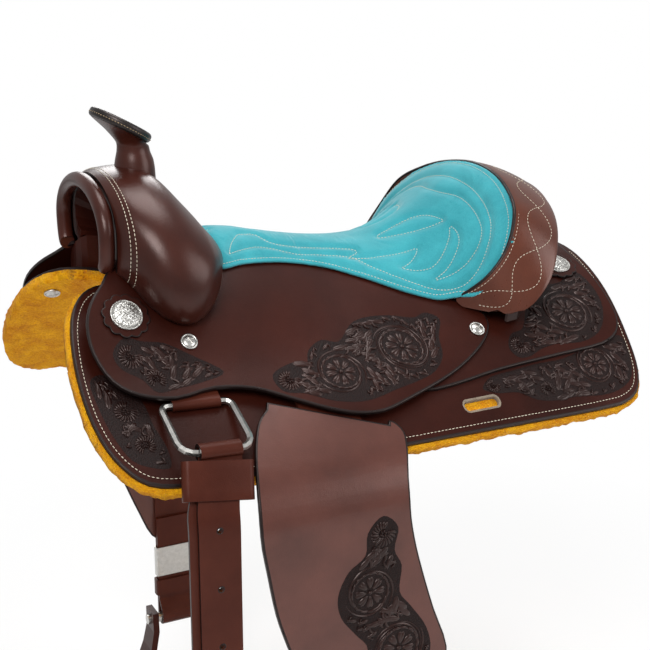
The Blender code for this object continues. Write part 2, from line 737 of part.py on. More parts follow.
def make_pommel(bar_bed, jockey_bed):
    front_x = SWELL_STATIONS[0][0]
    rear_x = SWELL_STATIONS[-1][0]

    def fork_place(u, v, w):
        x = FORK_FRONT_X + (FORK_REAR_X - FORK_FRONT_X) * v
        if w > 0.5:
            return swell_point(x, 2.0 * u - 1.0, FORK_INSET, FORK_FOOT_INSET, 0.020)
        return gullet_point(x, 2.0 * u - 1.0, 0.0, 0.020)
    fork = add_node("tree_fork", slab_mesh(20, 6, fork_place), "wood")
    carve(fork, bar_bed)

    def cover_place(u, v, w):
        x = front_x + (rear_x - front_x) * v
        inset = 0.0 if w > 0.5 else COVER_LEATHER
        return swell_point(x, 2.0 * u - 1.0, inset, inset, 0.010)
    cover = add_node("swell_cover", slab_mesh(20, 9, cover_place), "leather")
    carve(cover, jockey_bed)
    core_hole = add_cutter("horn_hole", cylinder_mesh(
        HORN_BASE_RADIUS - HORN_WRAP_LEATHER + FIT, (HORN_X, 0.0, 0.10), (HORN_X, 0.0, 0.20), 20))
    carve(cover, core_hole)

    def lining_place(u, v, w):
        x = FORK_FRONT_X + LINING_LENGTH * v
        inset = FORMED_FIT + (0.0 if w > 0.5 else LINING_LEATHER)
        return gullet_point(x, 2.0 * u - 1.0, inset, 0.0052)
    add_node("gullet_lining", slab_mesh(20, 4, lining_place), "leather")

    path = []
    for k in range(21):
        inset = GULLET_ROLL_INSET
        point = swell_point(front_x, k / 10.0 - 1.0, inset, inset, 0.010)
        path.append(Vector((GULLET_ROLL_X, point.y, point.z)))
    roll = add_node("gullet_roll", tube_mesh(path, GULLET_ROLL_RADIUS, 8), "leather")
    carve(roll, jockey_bed)


def tube_mesh(path, radius, sides):
    rings = []
    for k, point in enumerate(path):
        along = (path[min(len(path) - 1, k + 1)] - path[max(0, k - 1)]).normalized()
        side_axis = Vector((1.0, 0.0, 0.0))
        up_axis = along.cross(side_axis).normalized()
        ring = []
        for j in range(sides):
            a = math.tau * j / sides
            ring.append(point + radius * (math.cos(a) * side_axis + math.sin(a) * up_axis))
        rings.append(ring)
    return loft_mesh(rings)


# Horn

def horn_rings(inset, low_z, sides=20):
    stations = (
        (HORN_X, low_z, HORN_BASE_RADIUS, 0.0),
        (HORN_X, 0.160, HORN_BASE_RADIUS, 0.0),
        (HORN_X - 0.0005, 0.170, HORN_NECK_RADIUS, 0.10),
        (HORN_X - 0.0015, 0.178, HORN_NECK_RADIUS, 0.35),
        (HORN_X - 0.0090, 0.1870, HORN_NECK_RADIUS + 0.0055, 0.75),
        (HORN_CAP_X + 0.0015, HORN_CAP_Z - 0.0085, HORN_FLARE_RADIUS, 1.0),
    )
    rings = []
    for x, z, radius, share in stations:
        tilt = Matrix.Rotation(HORN_TILT * share, 3, "Y")
        centre = Vector((x, 0.0, z))
        ring = []
        for k in range(sides):
            a = math.tau * k / sides
            flat = Vector((math.cos(a), math.sin(a), 0.0)) * (radius - inset)
            ring.append(centre + tilt @ flat)
        rings.append(ring)
    return rings


def crown_cutter(name, front_x, rear_x, rows, inset):
    # A block under the top of the swell, whose upper face is moved in by inset.
    def place(u, v, w):
        x = front_x + (rear_x - front_x) * v
        point = swell_point(x, u - 0.5, inset, 0.0, 0.0)
        return point if w > 0.5 else Vector((point.x, point.y, 0.04))
    return add_cutter(name, slab_mesh(10, rows, place))


def make_horn():
    core = add_node("horn_core", loft_mesh(horn_rings(HORN_WRAP_LEATHER + FORMED_FIT, 0.138)), "wood")
    carve(core, crown_cutter("fork_bed", FORK_FRONT_X, FORK_REAR_X, 6, FORK_INSET - FORMED_FIT))
    outer = horn_rings(0.0, 0.140)
    inner = horn_rings(HORN_WRAP_LEATHER, 0.140)
    rings = outer + list(reversed(inner)) + [outer[0]]
    wrap = add_node("horn_wrap", loft_mesh(rings, closed_ends=False), "leather")
    carve(wrap, crown_cutter("cover_bed", SWELL_STATIONS[0][0], SWELL_STATIONS[-1][0], 9, -FIT))
    thickness = HORN_CAP_THICKNESS
    profile = [(0.0, thickness)]
    profile += [(HORN_CAP_RADIUS - 0.006, thickness), (HORN_CAP_RADIUS - 0.002, thickness - 0.0012),
                (HORN_CAP_RADIUS, thickness - 0.004), (HORN_CAP_RADIUS, 0.004),
                (HORN_CAP_RADIUS - 0.002, 0.0012), (HORN_CAP_RADIUS - 0.005, 0.0), (0.0, 0.0)]
    cap = turned("horn_cap", "black", profile, 28)
    tilt = Matrix.Rotation(HORN_TILT, 4, "Y")
    seat = Vector((HORN_CAP_X + 0.0015, 0.0, HORN_CAP_Z - 0.0085))
    cap.matrix_world = Matrix.Translation(seat) @ tilt @ Matrix.Translation((0.0, 0.0, FIT))


# Seat

def make_jockeys():
    outline = smooth_outline(JOCKEY_OUTLINE)
    for label, side in SIDES:
        formed_panel("seat_jockey_" + label, "leather", outline, side,
                     (seat_z, -JOCKEY_LEATHER), (seat_z, 0.0))
    rear = smooth_outline(REAR_JOCKEY_OUTLINE)
    for label, side in SIDES:
        formed_panel("rear_jockey_" + label, "leather", rear, side,
                     (skirt_z, FIT), (skirt_z, FIT + JOCKEY_LEATHER))


def make_seat_pad():
    outline = mirrored_outline(PAD_OUTLINE, 2)
    # Share of the way from the edge to the spine, and height as a share of the crown.
    rings = ((0.00, None), (0.03, 1), (0.09, 1), (0.15, 0), (0.21, 1), (0.34, 1), (0.42, 0),
             (0.50, 1), (0.72, 1), (1.00, 1))
    low_rings = (1.0, 0.72, 0.50, 0.34, 0.20, 0.09)
    count = len(outline)
    rows = len(low_rings) + len(rings)
    low_x, high_x = PAD_SPINE

    def plan(k, share):
        edge = outline[k % count]
        spine = Vector((min(high_x, max(low_x, edge.x)), 0.0))
        return edge.lerp(spine, share)

    bm = bmesh.new()
    bmesh.ops.create_grid(bm, x_segments=count, y_segments=rows - 1, size=0.5)
    for vert in bm.verts:
        k = round((vert.co.x + 0.5) * count)
        row = round((vert.co.y + 0.5) * (rows - 1))
        if row < len(low_rings):
            point = plan(k, low_rings[row])
            t = PAD_BEDDING
        else:
            share, full = rings[row - len(low_rings)]
            point = plan(k, share)
            crown = PAD_EDGE + (PAD_CROWN - PAD_EDGE) * math.sqrt(min(1.0, share / 0.5))
            if full is None:
                t = PAD_BEDDING + 0.4 * PAD_EDGE
            else:
                t = PAD_BEDDING + crown - (0.0 if full else PAD_CHANNEL)
        vert.co = on_surface(dish_z, point.x, point.y, t)
    bmesh.ops.remove_doubles(bm, verts=bm.verts, dist=0.00005)
    bmesh.ops.dissolve_degenerate(bm, edges=bm.edges, dist=0.00005)
    bmesh.ops.triangulate(bm, faces=bm.faces)
    bmesh.ops.recalc_face_normals(bm, faces=bm.faces)
    mesh = bpy.data.meshes.new("pad")
    bm.to_mesh(mesh)
    bm.free()
    return add_node("seat_pad", mesh, "suede")


# Cantle

def make_cantle(jockey_bed):
    def board_place(x, y, w):
        if w > 0.5:
            return on_surface(dish_z, x, y, -BOARD_BEDDING)
        return on_surface(seat_z, x, y, FORMED_FIT)
    board = mirrored_outline(BOARD_OUTLINE)
    add_node("cantle_board", pattern_mesh(board, board_place, step_x=0.018), "wood")

    inner = smooth_outline(ROLL_INNER, 2, closed=False)
    outer = smooth_outline(ROLL_OUTER, 2, closed=False)
    half = []
    under = []
    for k, (a, b) in enumerate(zip(inner, outer)):
        share = 1.0 - 0.72 * (k / (len(inner) - 1)) ** 2
        thick = ROLL_THICKNESS * share
        bulge = ROLL_BULGE * share
        down = Vector((0.0, 0.0, -1.0))
        ring = [a.lerp(b, 0.03), a.lerp(b, 0.35) - bulge * down, a.lerp(b, 0.72) - bulge * down,
                b, b.lerp(a, 0.06) + 0.6 * thick * down, b.lerp(a, 0.35) + thick * down,
                a.lerp(b, 0.08) + thick * down]
        half.append(ring)
        under.append(a.lerp(b, 0.45) + (thick + FORMED_FIT) * down)
    far = [[Vector((p.x, -p.y, p.z)) for p in ring] for ring in reversed(half[1:])]
    roll = add_node("cantle_roll", loft_mesh(far + half), "roll")
    carve(roll, jockey_bed)

    top_curve = under[:10]
    last = len(top_curve) - 1

    def back_place(u, v, w):
        s = 2.0 * u - 1.0
        k = abs(s) * last
        i = min(last - 1, int(k))
        top = top_curve[i].lerp(top_curve[i + 1], k - i)
        inward = Vector((-1.0, -0.9 * (top.y / CANTLE_HALF_WIDTH) ** 3, 0.0)).normalized()
        foot = Vector((top.x, top.y, skirt_z(top.x, top.y) - 0.01)) + 0.010 * inward
        point = top.lerp(foot, v) + (1.0 - w) * CANTLE_BACK_LEATHER * inward
        return Vector((point.x, math.copysign(point.y, s), point.z))
    back = add_node("cantle_back", slab_mesh(18, 3, back_place), "leather")
    bed = pattern_bed("rear_jockey_bed", 0.15, 0.33, JOCKEY_LEATHER + 2.0 * FIT)
    carve(back, bed)
    carve(back, jockey_bed)


def pattern_bed(name, x_low, x_high, t):
    def place(x, y, w):
        if w > 0.5:
            return on_surface(skirt_z, x, y, t)
        return Vector((x, y, SKIRT_EDGE_Z - 0.1))
    x_lines = grid_lines(x_low, x_high, GRID_X)
    y_lines = grid_lines(-0.22, 0.22, GRID_Y)
    return add_cutter(name, shape_slab(flat_slab(x_lines, y_lines), place))


# Conchos, rosettes and screws

def dome_profile(radius, height, edge, steps=5):
    points = []
    for k in range(steps + 1):
        a = math.pi / 2.0 * k / steps
        points.append((radius * math.sin(a), edge + (height - edge) * math.cos(a)))
    return points + [(radius, 0.0), (0.0, 0.0)]


def rosette_mesh():
    outline = []
    for k in range(ROSETTE_SCALLOPS * 4):
        a = math.tau * k / (ROSETTE_SCALLOPS * 4)
        lobe = abs(math.sin(a * ROSETTE_SCALLOPS / 2.0))
        radius = ROSETTE_RADIUS * (0.90 + 0.10 * lobe)
        outline.append(Vector((radius * math.cos(a), radius * math.sin(a))))
    return prism_mesh(outline, 0.0, ROSETTE_LEATHER)


def make_hardware():
    seat_surface = (seat_z, 0.0)
    rear_surface = (skirt_z, JOCKEY_LEATHER + FIT)
    for end, spot, (height, base) in (("front", FRONT_CONCHO, seat_surface),
                                      ("rear", REAR_CONCHO, rear_surface)):
        for label, side in SIDES:
            stand_off = base + 2.0 * FIT
            frame = surface_frame(height, spot[0], side * spot[1], stand_off)
            rosette = add_node(end + "_rosette_" + label, rosette_mesh(), "leather", smooth=False)
            rosette.matrix_world = frame
            concho = turned(end + "_concho_" + label, "nickel",
                            dome_profile(CONCHO_RADIUS, CONCHO_DOME, 0.0012), 24)
            concho.matrix_world = frame @ Matrix.Translation((0.0, 0.0, ROSETTE_LEATHER + FIT))
    for end, spot in (("front", FRONT_SCREW), ("rear", REAR_SCREW)):
        for label, side in SIDES:
            screw = turned("jockey_screw_" + end + "_" + label, "nickel",
                           dome_profile(SCREW_RADIUS, SCREW_DOME, 0.0008, 4), 18)
            screw.matrix_world = surface_frame(seat_z, spot[0], side * spot[1], 0.0005)
    under = -SKIRT_LEATHER - FIT - FLEECE_PILE - 0.0005
    for label, side in SIDES:
        screw = turned("lining_screw_" + label, "nickel",
                       dome_profile(SCREW_RADIUS, SCREW_DOME, 0.0008, 4), 18)
        screw.matrix_world = surface_frame(skirt_z, LINING_SCREW[0], side * LINING_SCREW[1],
                                           under, flip=-1.0)


# Rigging and latigo

def ring_points():
    # Section plane of the ring at its middle: bar and bow as (y, z).
    bar = on_surface(skirt_z, RING_X, RING_BAR_Y, RING_BAR_LIFT)
    return bar, bar + RING_DROP * Vector((0.0, math.cos(RING_SLOPE), -math.sin(RING_SLOPE)))


def make_rigging():
    bar, bow = ring_points()
    down = (bow - bar).normalized()
    up = Vector((0.0, -down.z, down.y))
    for label, side in SIDES:
        flip = Vector((1.0, side, 1.0))
        pivot = pivot_at("ring_axis_" + label, bar * flip)
        curve = bpy.data.curves.new("rigging_ring", "CURVE")
        curve.dimensions = "3D"
        curve.bevel_depth = RING_WIRE
        curve.bevel_resolution = 1
        flat = []
        for centre_x, centre_d, corner, start in (
                (RING_HALF_WIDTH, 0.0, 0.008, -90.0), (RING_HALF_WIDTH, RING_DROP, RING_CORNER, 0.0),
                (-RING_HALF_WIDTH, RING_DROP, RING_CORNER, 90.0),
                (-RING_HALF_WIDTH, 0.0, 0.008, 180.0)):
            inner_x = math.copysign(RING_HALF_WIDTH - corner, centre_x)
            inner_d = RING_DROP - corner if centre_d > 0.0 else corner
            for k in range(5):
                a = math.radians(start + 90.0 * k / 4)
                flat.append((inner_x + corner * math.cos(a), inner_d + corner * math.sin(a)))
        spline = curve.splines.new("POLY")
        spline.points.add(len(flat) - 1)
        for point, (x, d) in zip(spline.points, flat):
            place = Vector((x, 0.0, -RING_SLANT * x)) + d * down * flip
            point.co = (*place, 1.0)
        spline.use_cyclic_u = True
        guide = bpy.data.objects.new("ring_guide", curve)
        SADDLE.objects.link(guide)
        mesh = evaluated_mesh(guide)
        bpy.data.objects.remove(guide)
        ring = add_node("rigging_ring_" + label, mesh, "nickel")
        ring.parent = pivot

        reach = RING_WIRE + FIT + RIGGING_LEATHER / 2.0
        low = FORMED_FIT + RIGGING_LEATHER / 2.0
        flats = ((0.048, low), (0.034, low), (0.021, low + 0.0012),
                 (0.010, RING_BAR_LIFT + reach - 0.0015))
        turns = 7
        count = len(flats) + turns

        def strap_place(u, v, w):
            k = round(u * count)
            x = (2.0 * v - 1.0) * (RING_HALF_WIDTH - 0.012)
            lift = (w - 0.5) * RIGGING_LEATHER
            if k < len(flats):
                back, height = flats[k]
                return on_surface(skirt_z, RING_X + x, side * (RING_BAR_Y - back), height + lift)
            a = math.radians(95.0 - 140.0 * (k - len(flats)) / turns)
            centre = bar + Vector((x, 0.0, -RING_SLANT * x))
            return (centre + (reach + lift) * (math.cos(a) * down + math.sin(a) * up)) * flip
        add_node("rigging_strap_" + label, slab_mesh(count, 2, strap_place), "strap")


def hanging_strap_path(end_z):
    # Up the inner layer, over the ring's bow and down the outer layer.
    bow = ring_points()[1]
    reach = RING_WIRE + FORMED_FIT + LATIGO_LEATHER / 2.0
    half_gap = LATIGO_LEATHER / 2.0 + 0.0002
    plumb = Vector((LATIGO_PLUMB_Y, WRAP_FOOT_Z))
    knot = Vector((bow.y, bow.z))
    slope = (plumb - knot).normalized()
    across = Vector((-slope.y, slope.x))
    inner, outer = [], []
    for point, way in ((Vector((LATIGO_PLUMB_Y, -0.32)), Vector((1.0, 0.0))),
                       (Vector((LATIGO_PLUMB_Y, -0.20)), Vector((1.0, 0.0))),
                       (plumb + Vector((0.0, -0.012)), Vector((1.0, 0.12))),
                       (plumb + Vector((-0.002, 0.004)), across),
                       (plumb.lerp(knot, 0.45), across),
                       (plumb.lerp(knot, 0.89), across)):
        way = way.normalized()
        inner.append(point - half_gap * way)
        outer.append(point + half_gap * way)
    path = [(LATIGO_PLUMB_Y - half_gap, end_z + 0.012)] + [tuple(p) for p in inner]
    back = math.degrees(math.atan2(slope.y, slope.x))
    for k in range(9):
        a = math.radians(back - 60.0 - 240.0 * k / 8)
        path.append((knot.x + reach * math.cos(a), knot.y + reach * math.sin(a)))
    return path + [tuple(p) for p in reversed(outer)] + [(LATIGO_PLUMB_Y + half_gap, end_z)]


def make_latigo():
    # The near side's latigo; its lower end is looped over the ring and held by the wrap.
    side = SIDES[0][1]
    bow = ring_points()[1]
    path = hanging_strap_path(LATIGO_END_Z)
    half = LATIGO_WIDTH / 2.0
    turn_k = len(path) // 2

    def centre_x(k):
        # The strap hangs a little ahead of the ring and its back layer further still.
        rise = smooth_step(WRAP_FOOT_Z, bow.z, path[k][1])
        back = LATIGO_BACK_SHIFT if k < turn_k else 0.0
        return (LATIGO_X + back) * (1.0 - rise) + RING_X * rise

    def slant(k):
        return -RING_SLANT * smooth_step(WRAP_FOOT_Z, bow.z, path[k][1])
    mesh = path_strap_mesh([(side * y, z) for y, z in path], LATIGO_LEATHER,
                           lambda k: (centre_x(k) - half, centre_x(k) + half), 2, slant)
    pivot = pivot_at("latigo_axis", Vector((RING_X, side * bow.y, bow.z)))
    strap = hang(add_node("latigo", mesh, "strap"), pivot)
    for k in range(HOLE_COUNT):
        z = FIRST_HOLE_Z - HOLE_SPACING * k
        start = (LATIGO_X, side * (LATIGO_PLUMB_Y - 0.03), z)
        end = (LATIGO_X, side * (LATIGO_PLUMB_Y + 0.03), z)
        hole = cylinder_mesh(HOLE_RADIUS, start, end, 10)
        carve(strap, add_cutter("latigo_hole_%d" % k, hole))

    foot = Vector((0.0, side * LATIGO_PLUMB_Y, WRAP_FOOT_Z))
    knot = Vector((0.0, side * bow.y, bow.z))
    centre = foot.lerp(knot, WRAP_SHARE)
    centre.x = (LATIGO_X + RING_X) / 2.0
    lean = -math.atan2(knot.y - foot.y, knot.z - foot.z)
    depth = LATIGO_LEATHER + 0.0002 + 2.0 * FIT
    band = band_mesh(centre, WRAP_HALF_LENGTH, depth, WRAP_HEIGHT, WRAP_LEATHER,
                     WRAP_TILT, lean, corner=0.0035)
    hang(add_node("latigo_wrap", band, "strap"), pivot)


# Fenders, stirrup leathers and stirrups

def fender_profile():
    # Mean line of the fender as (y, z), from inside the fold out over the skirt and down.
    points = []
    for k in range(7):
        y = 0.150 + (FENDER_BEND_Y - 0.150) * k / 6
        point = on_surface(skirt_z, FENDER_REF_X, y, FENDER_LIFT + FENDER_LEATHER / 2.0)
        points.append(Vector((point.y, point.z)))
    start = points[-1]
    along = (points[-1] - points[-2]).normalized()
    end = Vector((FENDER_PLUMB_Y, start.y - FENDER_BEND_DROP))
    handle_a = start + along * 0.026
    handle_b = end + Vector((0.0, 0.026))
    for k in range(1, 9):
        s = k / 8
        points.append((1 - s) ** 3 * start + 3 * (1 - s) ** 2 * s * handle_a
                      + 3 * (1 - s) * s * s * handle_b + s ** 3 * end)
    for k in range(1, 10):
        points.append(Vector((FENDER_PLUMB_Y, end.y + (FENDER_END_Z - 0.02 - end.y) * k / 9)))
    return points


def profile_at(points, lengths, s):
    k = max(i for i in range(len(points) - 1) if lengths[i] <= max(0.0, s) or i == 0)
    span = lengths[k + 1] - lengths[k]
    share = (s - lengths[k]) / span
    before = points[max(0, k - 1)]
    after = points[min(len(points) - 1, k + 2)]
    tangent_low = (points[k + 1] - before).normalized()
    tangent_high = (after - points[k]).normalized()
    along = tangent_low.lerp(tangent_high, min(1.0, max(0.0, share))).normalized()
    return points[k].lerp(points[k + 1], share), Vector((-along.y, along.x))


def length_to(points, lengths, y):
    # How far along the profile it first reaches y.
    k = max(i for i in range(len(points) - 1) if points[i].x <= y)
    share = (y - points[k].x) / (points[k + 1].x - points[k].x)
    return lengths[k] + (lengths[k + 1] - lengths[k]) * share


def fold_y(x):
    return FOLD_Y + FOLD_SLOPE * (x - FENDER_REF_X)


def make_fenders():
    points = fender_profile()
    lengths = [0.0]
    for a, b in zip(points, points[1:]):
        lengths.append(lengths[-1] + (b - a).length)
    fold_s = length_to(points, lengths, FOLD_Y)
    datum_s = length_to(points, lengths, FENDER_DATUM_Y)
    run = (points[5] - points[4]).normalized().x
    edge = smooth_outline([(x, datum_s + drop) for x, drop in FENDER_OUTLINE], 2, closed=False)
    first, last = edge[0], edge[-1]
    edge[0] = Vector((first.x, fold_s + (fold_y(first.x) - FOLD_Y) / run + 0.001))
    edge[-1] = Vector((last.x, fold_s + (fold_y(last.x) - FOLD_Y) / run + 0.001))
    outline = edge

    pivots = {}
    for label, side in SIDES:
        def place(x, s, w):
            point, outward = profile_at(points, lengths, s)
            point = point + (w - 0.5) * FENDER_LEATHER * outward
            return Vector((x, side * point.x, point.y))
        mesh = pattern_mesh(outline, place, step_x=0.034, step_y=0.017)
        fender = add_node("fender_" + label, mesh, "fender")
        pivots[label] = (fender, fold_s)

        top_half = STRAP_HALF_WIDTH
        strap_t = FIT + STRAP_LEATHER
        strap_outline = [Vector((PIVOT_X - top_half, PIVOT_Y)), Vector((PIVOT_X + top_half, PIVOT_Y)),
                         Vector((PIVOT_X + top_half, fold_y(PIVOT_X + top_half) - 0.0015)),
                         Vector((PIVOT_X - top_half, fold_y(PIVOT_X - top_half) - 0.0015))]

        def underside(x, y):
            # Lies on the skirt at its pivot and stands clear of it at the fold.
            return FIT + STRAP_RISE * smooth_step(PIVOT_Y, FOLD_Y, abs(y))

        def face(x, y):
            return underside(x, y) + STRAP_LEATHER
        strap = formed_panel("stirrup_leather_top_" + label, "strap", strap_outline, side,
                             (skirt_z, underside), (skirt_z, face))
        hang(strap, pivot_at("swing_axis_" + label,
                             on_surface(skirt_z, PIVOT_X, side * PIVOT_Y, strap_t / 2.0)))
    return points, lengths, run, pivots


def make_stirrups(points, lengths, run, fenders):
    inner_gap = FENDER_LEATHER / 2.0 + FORMED_FIT + STRAP_LEATHER / 2.0
    for label, side in SIDES:
        fender, fold_s = fenders[label]
        fold_point, outward = profile_at(points, lengths, fold_s)
        lift_pivot = pivot_at("lift_axis_" + label,
                              Vector((FENDER_REF_X, side * fold_point.x, fold_point.y)))
        hang(fender, lift_pivot)
        # Down behind the fender, round the stirrup bolt and up again inside.
        path = []
        start_s = fold_s + (fold_y(PIVOT_X + STRAP_HALF_WIDTH) - FOLD_Y) / run + 0.006
        for k in range(15):
            s = start_s + (lengths[16] - start_s) * k / 14
            point, normal = profile_at(points, lengths, s)
            point = point - inner_gap * normal
            path.append((point.x, point.y))
        outer_y = FENDER_PLUMB_Y - inner_gap
        reach = BOLT_RADIUS + FIT + STRAP_LEATHER / 2.0
        centre_y = outer_y - reach
        path += [(outer_y, -0.30), (outer_y, -0.40), (outer_y, -0.50), (outer_y, BOLT_Z + 0.012)]
        for k in range(7):
            a = -math.pi * k / 6
            path.append((centre_y + reach * math.cos(a), BOLT_Z + reach * math.sin(a)))
        inner_y = outer_y - STRAP_LEATHER - 0.0006
        path += [(centre_y - reach, BOLT_Z + 0.006), (inner_y, BOLT_Z + 0.026), (inner_y, -0.50),
                 (inner_y, LEATHER_END_Z)]
        half = STRAP_HALF_WIDTH - 0.0005
        mesh = path_strap_mesh([(side * y, z) for y, z in path], STRAP_LEATHER,
                               lambda k: (PIVOT_X - half, PIVOT_X + half), 2)
        hang(add_node("stirrup_leather_" + label, mesh, "strap"), lift_pivot)

        pair_y = side * (outer_y + inner_y) / 2.0
        pair_half = STRAP_LEATHER + 0.0003 + 2.0 * FIT
        for name, kind, z, height, wall in (
                ("stirrup_buckle_", "nickel", BUCKLE_Z, BUCKLE_HEIGHT, 0.0014),
                ("hobble_strap_", "strap", HOBBLE_Z, HOBBLE_HEIGHT, 0.0030)):
            band = band_mesh(Vector((PIVOT_X, pair_y, z)), STRAP_HALF_WIDTH + 0.0008,
                             pair_half, height, wall, corner=0.0012)
            hang(add_node(name + label, band, kind), lift_pivot)

        bolt_y = side * centre_y
        length = STIRRUP_NECK + STIRRUP_WALL + 0.004
        bolt = add_node("stirrup_bolt_" + label, cylinder_mesh(
            BOLT_RADIUS, (-length, 0.0, 0.0), (length, 0.0, 0.0), 24), "nickel")
        bolt.location = (PIVOT_X, bolt_y, BOLT_Z)
        hang(bolt, lift_pivot)

        tilt_pivot = pivot_at("tilt_axis_" + label, Vector((PIVOT_X, bolt_y, BOLT_Z)))
        stirrup = add_node("stirrup_" + label, stirrup_mesh(), "leather")
        stirrup.parent = tilt_pivot
        hole = add_cutter("bolt_hole_" + label, cylinder_mesh(
            BOLT_RADIUS + FIT, (PIVOT_X - 0.08, bolt_y, BOLT_Z),
            (PIVOT_X + 0.08, bolt_y, BOLT_Z), 24))
        carve(stirrup, hole)


def stirrup_mesh():
    # A bell: two sides that flare down to a flat tread, its opening along Y.
    half_path = [(STIRRUP_NECK, 0.014), (STIRRUP_NECK, 0.000), (STIRRUP_NECK, -0.016),
                 (STIRRUP_NECK + 0.006, -0.045), (STIRRUP_NECK + 0.020, -0.085),
                 (STIRRUP_TREAD, -0.118), (STIRRUP_TREAD - 0.003, -0.138),
                 (STIRRUP_TREAD - 0.014, -STIRRUP_DROP), (STIRRUP_TREAD - 0.040, -STIRRUP_DROP)]
    path = half_path + [(-x, z) for x, z in reversed(half_path)]
    points = [Vector(p) for p in path]
    count = len(points) - 1

    def place(u, v, w):
        k = round(u * count)
        along = points[min(count, k + 1)] - points[max(0, k - 1)]
        outward = Vector((-along.y, along.x)).normalized()
        point = points[k] + w * STIRRUP_WALL * outward
        depth = -points[k].y / STIRRUP_DROP
        half_width = STIRRUP_WIDTH / 2.0 * (0.62 + 0.38 * min(1.0, max(0.0, depth)))
        return Vector((point.x, (2.0 * v - 1.0) * half_width, point.y))
    return slab_mesh(count, 1, place)


SADDLE, CUTTERS = clear_scene()
make_skirts()
make_bars()
make_ground_seat()
make_jockeys()
bar_cutter = bed_cutter("bar_bed", -0.30, -0.12, lambda x, y: bar_depth(x, y) + 1.5 * FORMED_FIT)
jockey_cutter = bed_cutter("jockey_bed", -0.32, 0.26, 1.4 * FORMED_FIT)
make_pommel(bar_cutter, jockey_cutter)
make_horn()
make_seat_pad()
make_cantle(jockey_cutter)
make_hardware()
make_rigging()
make_latigo()
make_stirrups(*make_fenders())
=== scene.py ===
import math
import bpy
import bmesh
from mathutils import Matrix, Vector, kdtree, noise


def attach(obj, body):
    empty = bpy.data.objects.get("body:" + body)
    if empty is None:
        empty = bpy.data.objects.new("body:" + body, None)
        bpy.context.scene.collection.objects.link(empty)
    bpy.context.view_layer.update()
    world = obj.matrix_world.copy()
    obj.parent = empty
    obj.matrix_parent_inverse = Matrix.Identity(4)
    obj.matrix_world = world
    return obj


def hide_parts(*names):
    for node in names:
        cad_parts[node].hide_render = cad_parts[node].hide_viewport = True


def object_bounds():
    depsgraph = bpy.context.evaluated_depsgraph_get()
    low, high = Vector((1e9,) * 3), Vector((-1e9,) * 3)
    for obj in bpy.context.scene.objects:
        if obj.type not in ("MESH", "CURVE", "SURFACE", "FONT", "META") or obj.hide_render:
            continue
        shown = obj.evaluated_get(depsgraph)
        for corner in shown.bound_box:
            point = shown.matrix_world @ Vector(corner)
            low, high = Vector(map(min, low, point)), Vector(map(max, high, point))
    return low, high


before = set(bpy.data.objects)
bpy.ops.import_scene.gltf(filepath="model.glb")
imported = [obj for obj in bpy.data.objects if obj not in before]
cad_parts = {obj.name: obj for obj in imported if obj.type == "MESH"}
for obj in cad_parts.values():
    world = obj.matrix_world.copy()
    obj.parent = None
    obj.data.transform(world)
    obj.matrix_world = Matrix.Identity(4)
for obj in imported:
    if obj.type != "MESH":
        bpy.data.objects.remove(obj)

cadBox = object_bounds()
noise.seed_set(11)  # else noise_vector differs from run to run
sides = {"left": -1.0, "right": 1.0}  # the near side is towards -Y


def mm(*points):
    # Points given in millimetres
    return [tuple(c / 1000.0 for c in point) for point in points]


# The saddle's form
form = {
    "halfWidth": 0.250, "edgeZ": -0.128, "ridgeZ": 0.012, "ridgeRound": 0.010,
    "withersRise": 0.64, "loinRise": 0.04, "power": 1.45, "powerPerMetre": 1.15,
    "liftSeat": 0.026, "liftPommel": 0.045, "liftRear": 0.0125, "liftEdge": 0.0206,
    "innerY": 0.055, "outerY": 0.175,
    "cantleX": 0.234, "cantleTop": 0.1275, "cantleHalf": 0.168, "cantleSweep": 0.050,
    "cantlePower": 2.6, "dishX": 0.050, "dishPerY": 0.45, "dishPower": 1.8,
}


def smoothStep(start, end, value):
    s = min(1.0, max(0.0, (value - start) / (end - start)))
    return s * s * (3.0 - 2.0 * s)


def ridgeDistance(y):
    return math.sqrt(y * y + form["ridgeRound"] ** 2) - form["ridgeRound"]


def skirtHeight(x, y):
    ridge = form["ridgeZ"] + (form["withersRise"] if x < 0.0 else form["loinRise"]) * x * x
    share = ridgeDistance(y) / ridgeDistance(form["halfWidth"])
    return ridge - (ridge - form["edgeZ"]) * share ** (form["power"] + form["powerPerMetre"] * x)


def seatHeight(x, y):
    middle = form["liftSeat"] + (form["liftPommel"] - form["liftSeat"]) * smoothStep(0.06, -0.14, x)
    edge = form["liftRear"] + (form["liftEdge"] - form["liftRear"]) * smoothStep(0.10, 0.0, x)
    share = 1.0 - smoothStep(form["innerY"], form["outerY"], abs(y))
    return skirtHeight(x, y) + edge + (middle - edge) * share


def rimX(y):
    return form["cantleX"] - form["cantleSweep"] * min(1.0, abs(y) / 0.160) ** 3


def rimZ(y):
    share = min(1.0, abs(y) / form["cantleHalf"])
    return form["cantleTop"] * (1.0 - share ** form["cantlePower"]) ** 0.6


def dishHeight(x, y):
    start = form["dishX"] + form["dishPerY"] * abs(y)
    end = rimX(y)
    share = min(1.0, max(0.0, (x - start) / (end - start)))
    return seatHeight(x, y) + max(0.0, rimZ(y) - seatHeight(end, y)) * share ** form["dishPower"]


def normalAt(height, x, y):
    step = 0.0005
    slopeX = (height(x + step, y) - height(x - step, y)) / (2.0 * step)
    slopeY = (height(x, y + step) - height(x, y - step)) / (2.0 * step)
    return Vector((-slopeX, -slopeY, 1.0)).normalized()


def onSurface(height, x, y, t):
    return Vector((x, y, height(x, y))) + t * normalAt(height, x, y)


def cubic(s, start, end, leave, arrive):
    # From start to end as s goes from 0 to 1, with the slopes leave and arrive
    return ((2 * s ** 3 - 3 * s * s + 1) * start + (s ** 3 - 2 * s * s + s) * leave
            + (3 * s * s - 2 * s ** 3) * end + (s ** 3 - s * s) * arrive)


